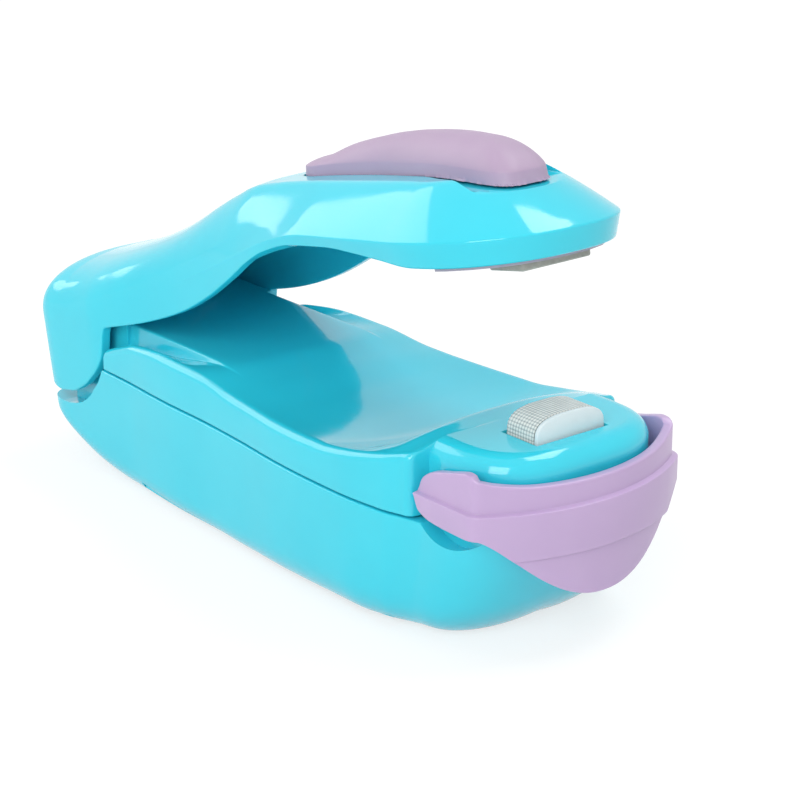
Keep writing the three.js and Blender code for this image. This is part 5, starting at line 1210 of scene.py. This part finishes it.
s = contactSpring
for number, direction in ((1, 1), (2, -1)):
    coil = helix(s["coil"], s["turns"], s["long"])
    start = (size["bayRear"] if direction > 0 else size["bayFront"]) + direction * s["plate"]
    across, up = coil[:, 1] - direction * size["cellY"], size["cellZ"] - direction * coil[:, 0]
    path = np.stack([start + direction * coil[:, 2], across, up], 1)
    piece = wire(f"contactSpring{number}", path, s["wire"])
    finishPiece(piece, "base", "steel", steel, f"contact_spring_{number}", sharp=60)
s = heaterSpring
for number, side in ((1, -1), (2, 1)):
    coil = helix(s["coil"], s["turns"], s["long"]) + [s["x"], side * s["y"], s["z"]]
    piece = wire(f"heaterSpring{number}", coil, s["wire"])
    finishPiece(piece, "base", "steel", steel, f"heater_spring_{number}", sharp=60)
    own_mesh(piece)


# The torsion spring round the hinge pin, with a leg behind and a leg up under the arm.
def armSpringPath():
    s, r = armSpring, armSpring["coil"]
    angle = np.linspace(-np.pi / 2, -np.pi / 2 + s["turns"] * 2 * np.pi, 230)
    across = np.linspace(-s["half"], s["half"], 230)
    turn = np.stack([hx + r * np.cos(angle), across, hz + r * np.sin(angle)], 1)
    heading = np.array([-math.sin(angle[-1]), 0, math.cos(angle[-1])])
    t = np.linspace(0, 1, 14)[1:, None]
    lowLeg = turn[0] - np.array([s["lowLeg"], 0, 0]) * t[::-1]
    return np.concatenate([lowLeg, turn, turn[-1] + heading * s["highLeg"] * t])


piece = wire("armSpring", armSpringPath(), armSpring["wire"])
finishPiece(piece, "base", "steel", steel, "arm_spring", sharp=60)

cell = {  # radii at heights above the minus end: its rolled rim, the film, the plus end's rim and nub
    "long": 50.5, "plate": 0.3, "bandFrom": 37.05, "filmRadius": 6.9, "filmFrom": 0.5, "filmTo": 48.5,
    "profile": [
        (0.01, 0), (6.0, 0), (6.4, 0.12), (6.7, 0.3), (7.05, 0.35), (7.2, 0.5), (7.25, 0.8),
        (7.25, 12.0), (7.25, 12.1), (7.25, 37.0), (7.25, 37.1), (7.25, 48.4), (7.2, 48.7),
        (7.0, 48.9), (6.6, 49.0), (6.3, 48.8), (5.8, 48.75), (3.2, 48.9), (2.9, 49.2),
        (2.75, 49.5), (2.75, 50.2), (2.55, 50.45), (2.2, 50.5), (0.01, 50.5),
    ],
}


# A cell: a can with rolled ends under shrunk film that stops short of them.
def makeCell(number, direction):
    end = size["bayFront"] - cell["plate"] if direction > 0 else size["bayRear"] + cell["plate"]
    start = end - direction * cell["long"]
    y, z = -direction * size["cellY"], size["cellZ"]
    placed = [(r, start + direction * h) for r, h in cell["profile"]]
    piece = turned(f"batteryCell{number}", placed, (0, y, z), "x", sides=72)
    mesh = piece.data
    points = np.empty(len(mesh.vertices) * 3, np.float32)
    mesh.vertices.foreach_get("co", points)
    banded = (points[0::3] * 1000 - shift - start) * direction > cell["bandFrom"]
    band = mesh.attributes.new("band", "FLOAT", "POINT")
    band.data.foreach_set("value", banded.astype(np.float32))
    finishPiece(piece, "base", "cell_wrap", cellFilm, f"battery_cell_{number}", sharp=40)
    mesh.materials.append(steel)
    middles = np.array([f.center[:] for f in mesh.polygons]) * 1000
    away = (middles[:, 0] - shift - start) * direction
    narrow = np.hypot(middles[:, 1] - y, middles[:, 2] - z) < cell["filmRadius"]
    bare = ((away > cell["filmTo"]) | (away < cell["filmFrom"])) & narrow
    mesh.polygons.foreach_set("material_index", bare.astype(np.int32))


makeCell(1, 1)
makeCell(2, -1)
print("screws, springs and cells made")

# CAD nodes that stay, each with its finish.
kept = {
    "pad_carrier": greyPlastic, "heater_carrier": greyPlastic, "hinge_pin": steel,
    "heating_ribbon": steel, "contact_bridge": brass, "contact_plus": brass, "contact_minus": brass,
    "switch_contact_fixed_1": brass, "switch_contact_fixed_2": brass, "switch_contact_moving": brass,
    "lead_battery": leadSleeve, "lead_heater": leadSleeve,
}
for name, material in kept.items():
    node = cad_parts[name]
    node.data.materials.clear()
    node.data.materials.append(material)

studio = {
    "floorDiffuse": 0.32, "floorGlow": 0.72, "floorPlain": 0.8, "floorLevel": -0.0001, "floorReach": 3,
    "around": 0.54, "target": (0.0, 0.0, 0.025),
    "keySize": 0.5, "keyPower": 1.6, "keyPlace": (-0.7, -0.24, 0.45),
    "topSize": 0.5, "topPower": 2.4, "topPlace": (0.1, 0.35, 0.75),
    "frontSize": 0.6, "frontPower": 5.2, "frontPlace": (0.46, -0.7, 0.5),
}
view = {
    "lens": 112.7, "sensor": 36, "place": (0.24639, -0.19047, 0.12871),
    "target": (0.01285, 0, 0.0211),
}


def plainlySeen(tree):  # 1 for camera, glossy and transmission rays, and 0 for the rest
    rays = addNode(tree, "LightPath").outputs
    seen = {0: rays["Is Camera Ray"], 1: rays["Is Glossy Ray"]}
    seen = addNode(tree, "Math", {"operation": "MAXIMUM"}, seen)
    seen = {0: seen.outputs[0], 1: rays["Is Transmission Ray"]}
    return addNode(tree, "Math", {"operation": "MAXIMUM"}, seen).outputs[0]


# A pale seamless floor: for the camera and for gloss it glows almost white and keeps the shadow;
# for soft light it is a plain pale surface. It lies a hair under the case, so the two share no plane.
def makeFloor():
    mesh = bpy.data.meshes.new("floor")
    far, low = studio["floorReach"], studio["floorLevel"]
    corners = [(-far, -far, low), (far, -far, low), (far, far, low), (-far, far, low)]
    mesh.from_pydata(corners, [], [(0, 1, 2, 3)])
    floor = bpy.data.objects.new("floor", mesh)
    bpy.context.collection.objects.link(floor)
    material, tree, _ = newMaterial("pale seamless paper")
    soft = addNode(tree, "BsdfDiffuse", {"Color": (studio["floorDiffuse"],) * 3 + (1,)})
    glow = addNode(tree, "Emission", {"Strength": studio["floorGlow"]})
    bright = addNode(tree, "AddShader", links={0: soft.outputs[0], 1: glow.outputs[0]})
    plain = addNode(tree, "BsdfDiffuse", {"Color": (studio["floorPlain"],) * 3 + (1,)})
    either = {0: plainlySeen(tree), 1: plain.outputs[0], 2: bright.outputs[0]}
    both = addNode(tree, "MixShader", links=either)
    addNode(tree, "OutputMaterial", links={0: both.outputs[0]})
    mesh.materials.append(material)


def makeWorld():  # white where it is plainly seen, and an even soft light for the rest
    world = bpy.data.worlds.new("studio")
    bpy.context.scene.world = world
    world.use_nodes = True
    tree = world.node_tree
    tree.nodes.clear()
    soft = addNode(tree, "Background", {"Color": (1, 1, 1, 1), "Strength": studio["around"]})
    white = addNode(tree, "Background", {"Color": (1, 1, 1, 1), "Strength": 1.0})
    either = {0: plainlySeen(tree), 1: soft.outputs[0], 2: white.outputs[0]}
    both = addNode(tree, "MixShader", links=either)
    addNode(tree, "OutputWorld", links={0: both.outputs[0]})


def facing(place, target):  # the turn of a lamp or camera at a place that looks at a target
    return (Vector(target) - Vector(place)).to_track_quat("-Z", "Y").to_euler()


def softBox(which, flatness=1.0):
    lamp = bpy.data.lights.new(which + "Box", "AREA")
    lamp.shape = "RECTANGLE"
    lamp.size, lamp.size_y = studio[which + "Size"], studio[which + "Size"] * flatness
    lamp.energy = studio[which + "Power"]
    holder = bpy.data.objects.new(which + "Box", lamp)
    holder.location = studio[which + "Place"]
    holder.rotation_euler = facing(studio[which + "Place"], studio["target"])
    bpy.context.collection.objects.link(holder)


makeFloor()
makeWorld()
softBox("key")
softBox("top", 0.6)
softBox("front")

lens = bpy.data.cameras.new("camera")
lens.lens, lens.sensor_width, lens.clip_start = view["lens"], view["sensor"], 0.01
camera = bpy.data.objects.new("camera", lens)
camera.location = view["place"]
camera.rotation_euler = facing(view["place"], view["target"])
bpy.context.collection.objects.link(camera)
bpy.context.scene.camera = camera
bpy.context.scene.view_settings.view_transform = "Standard"

print("stage set")
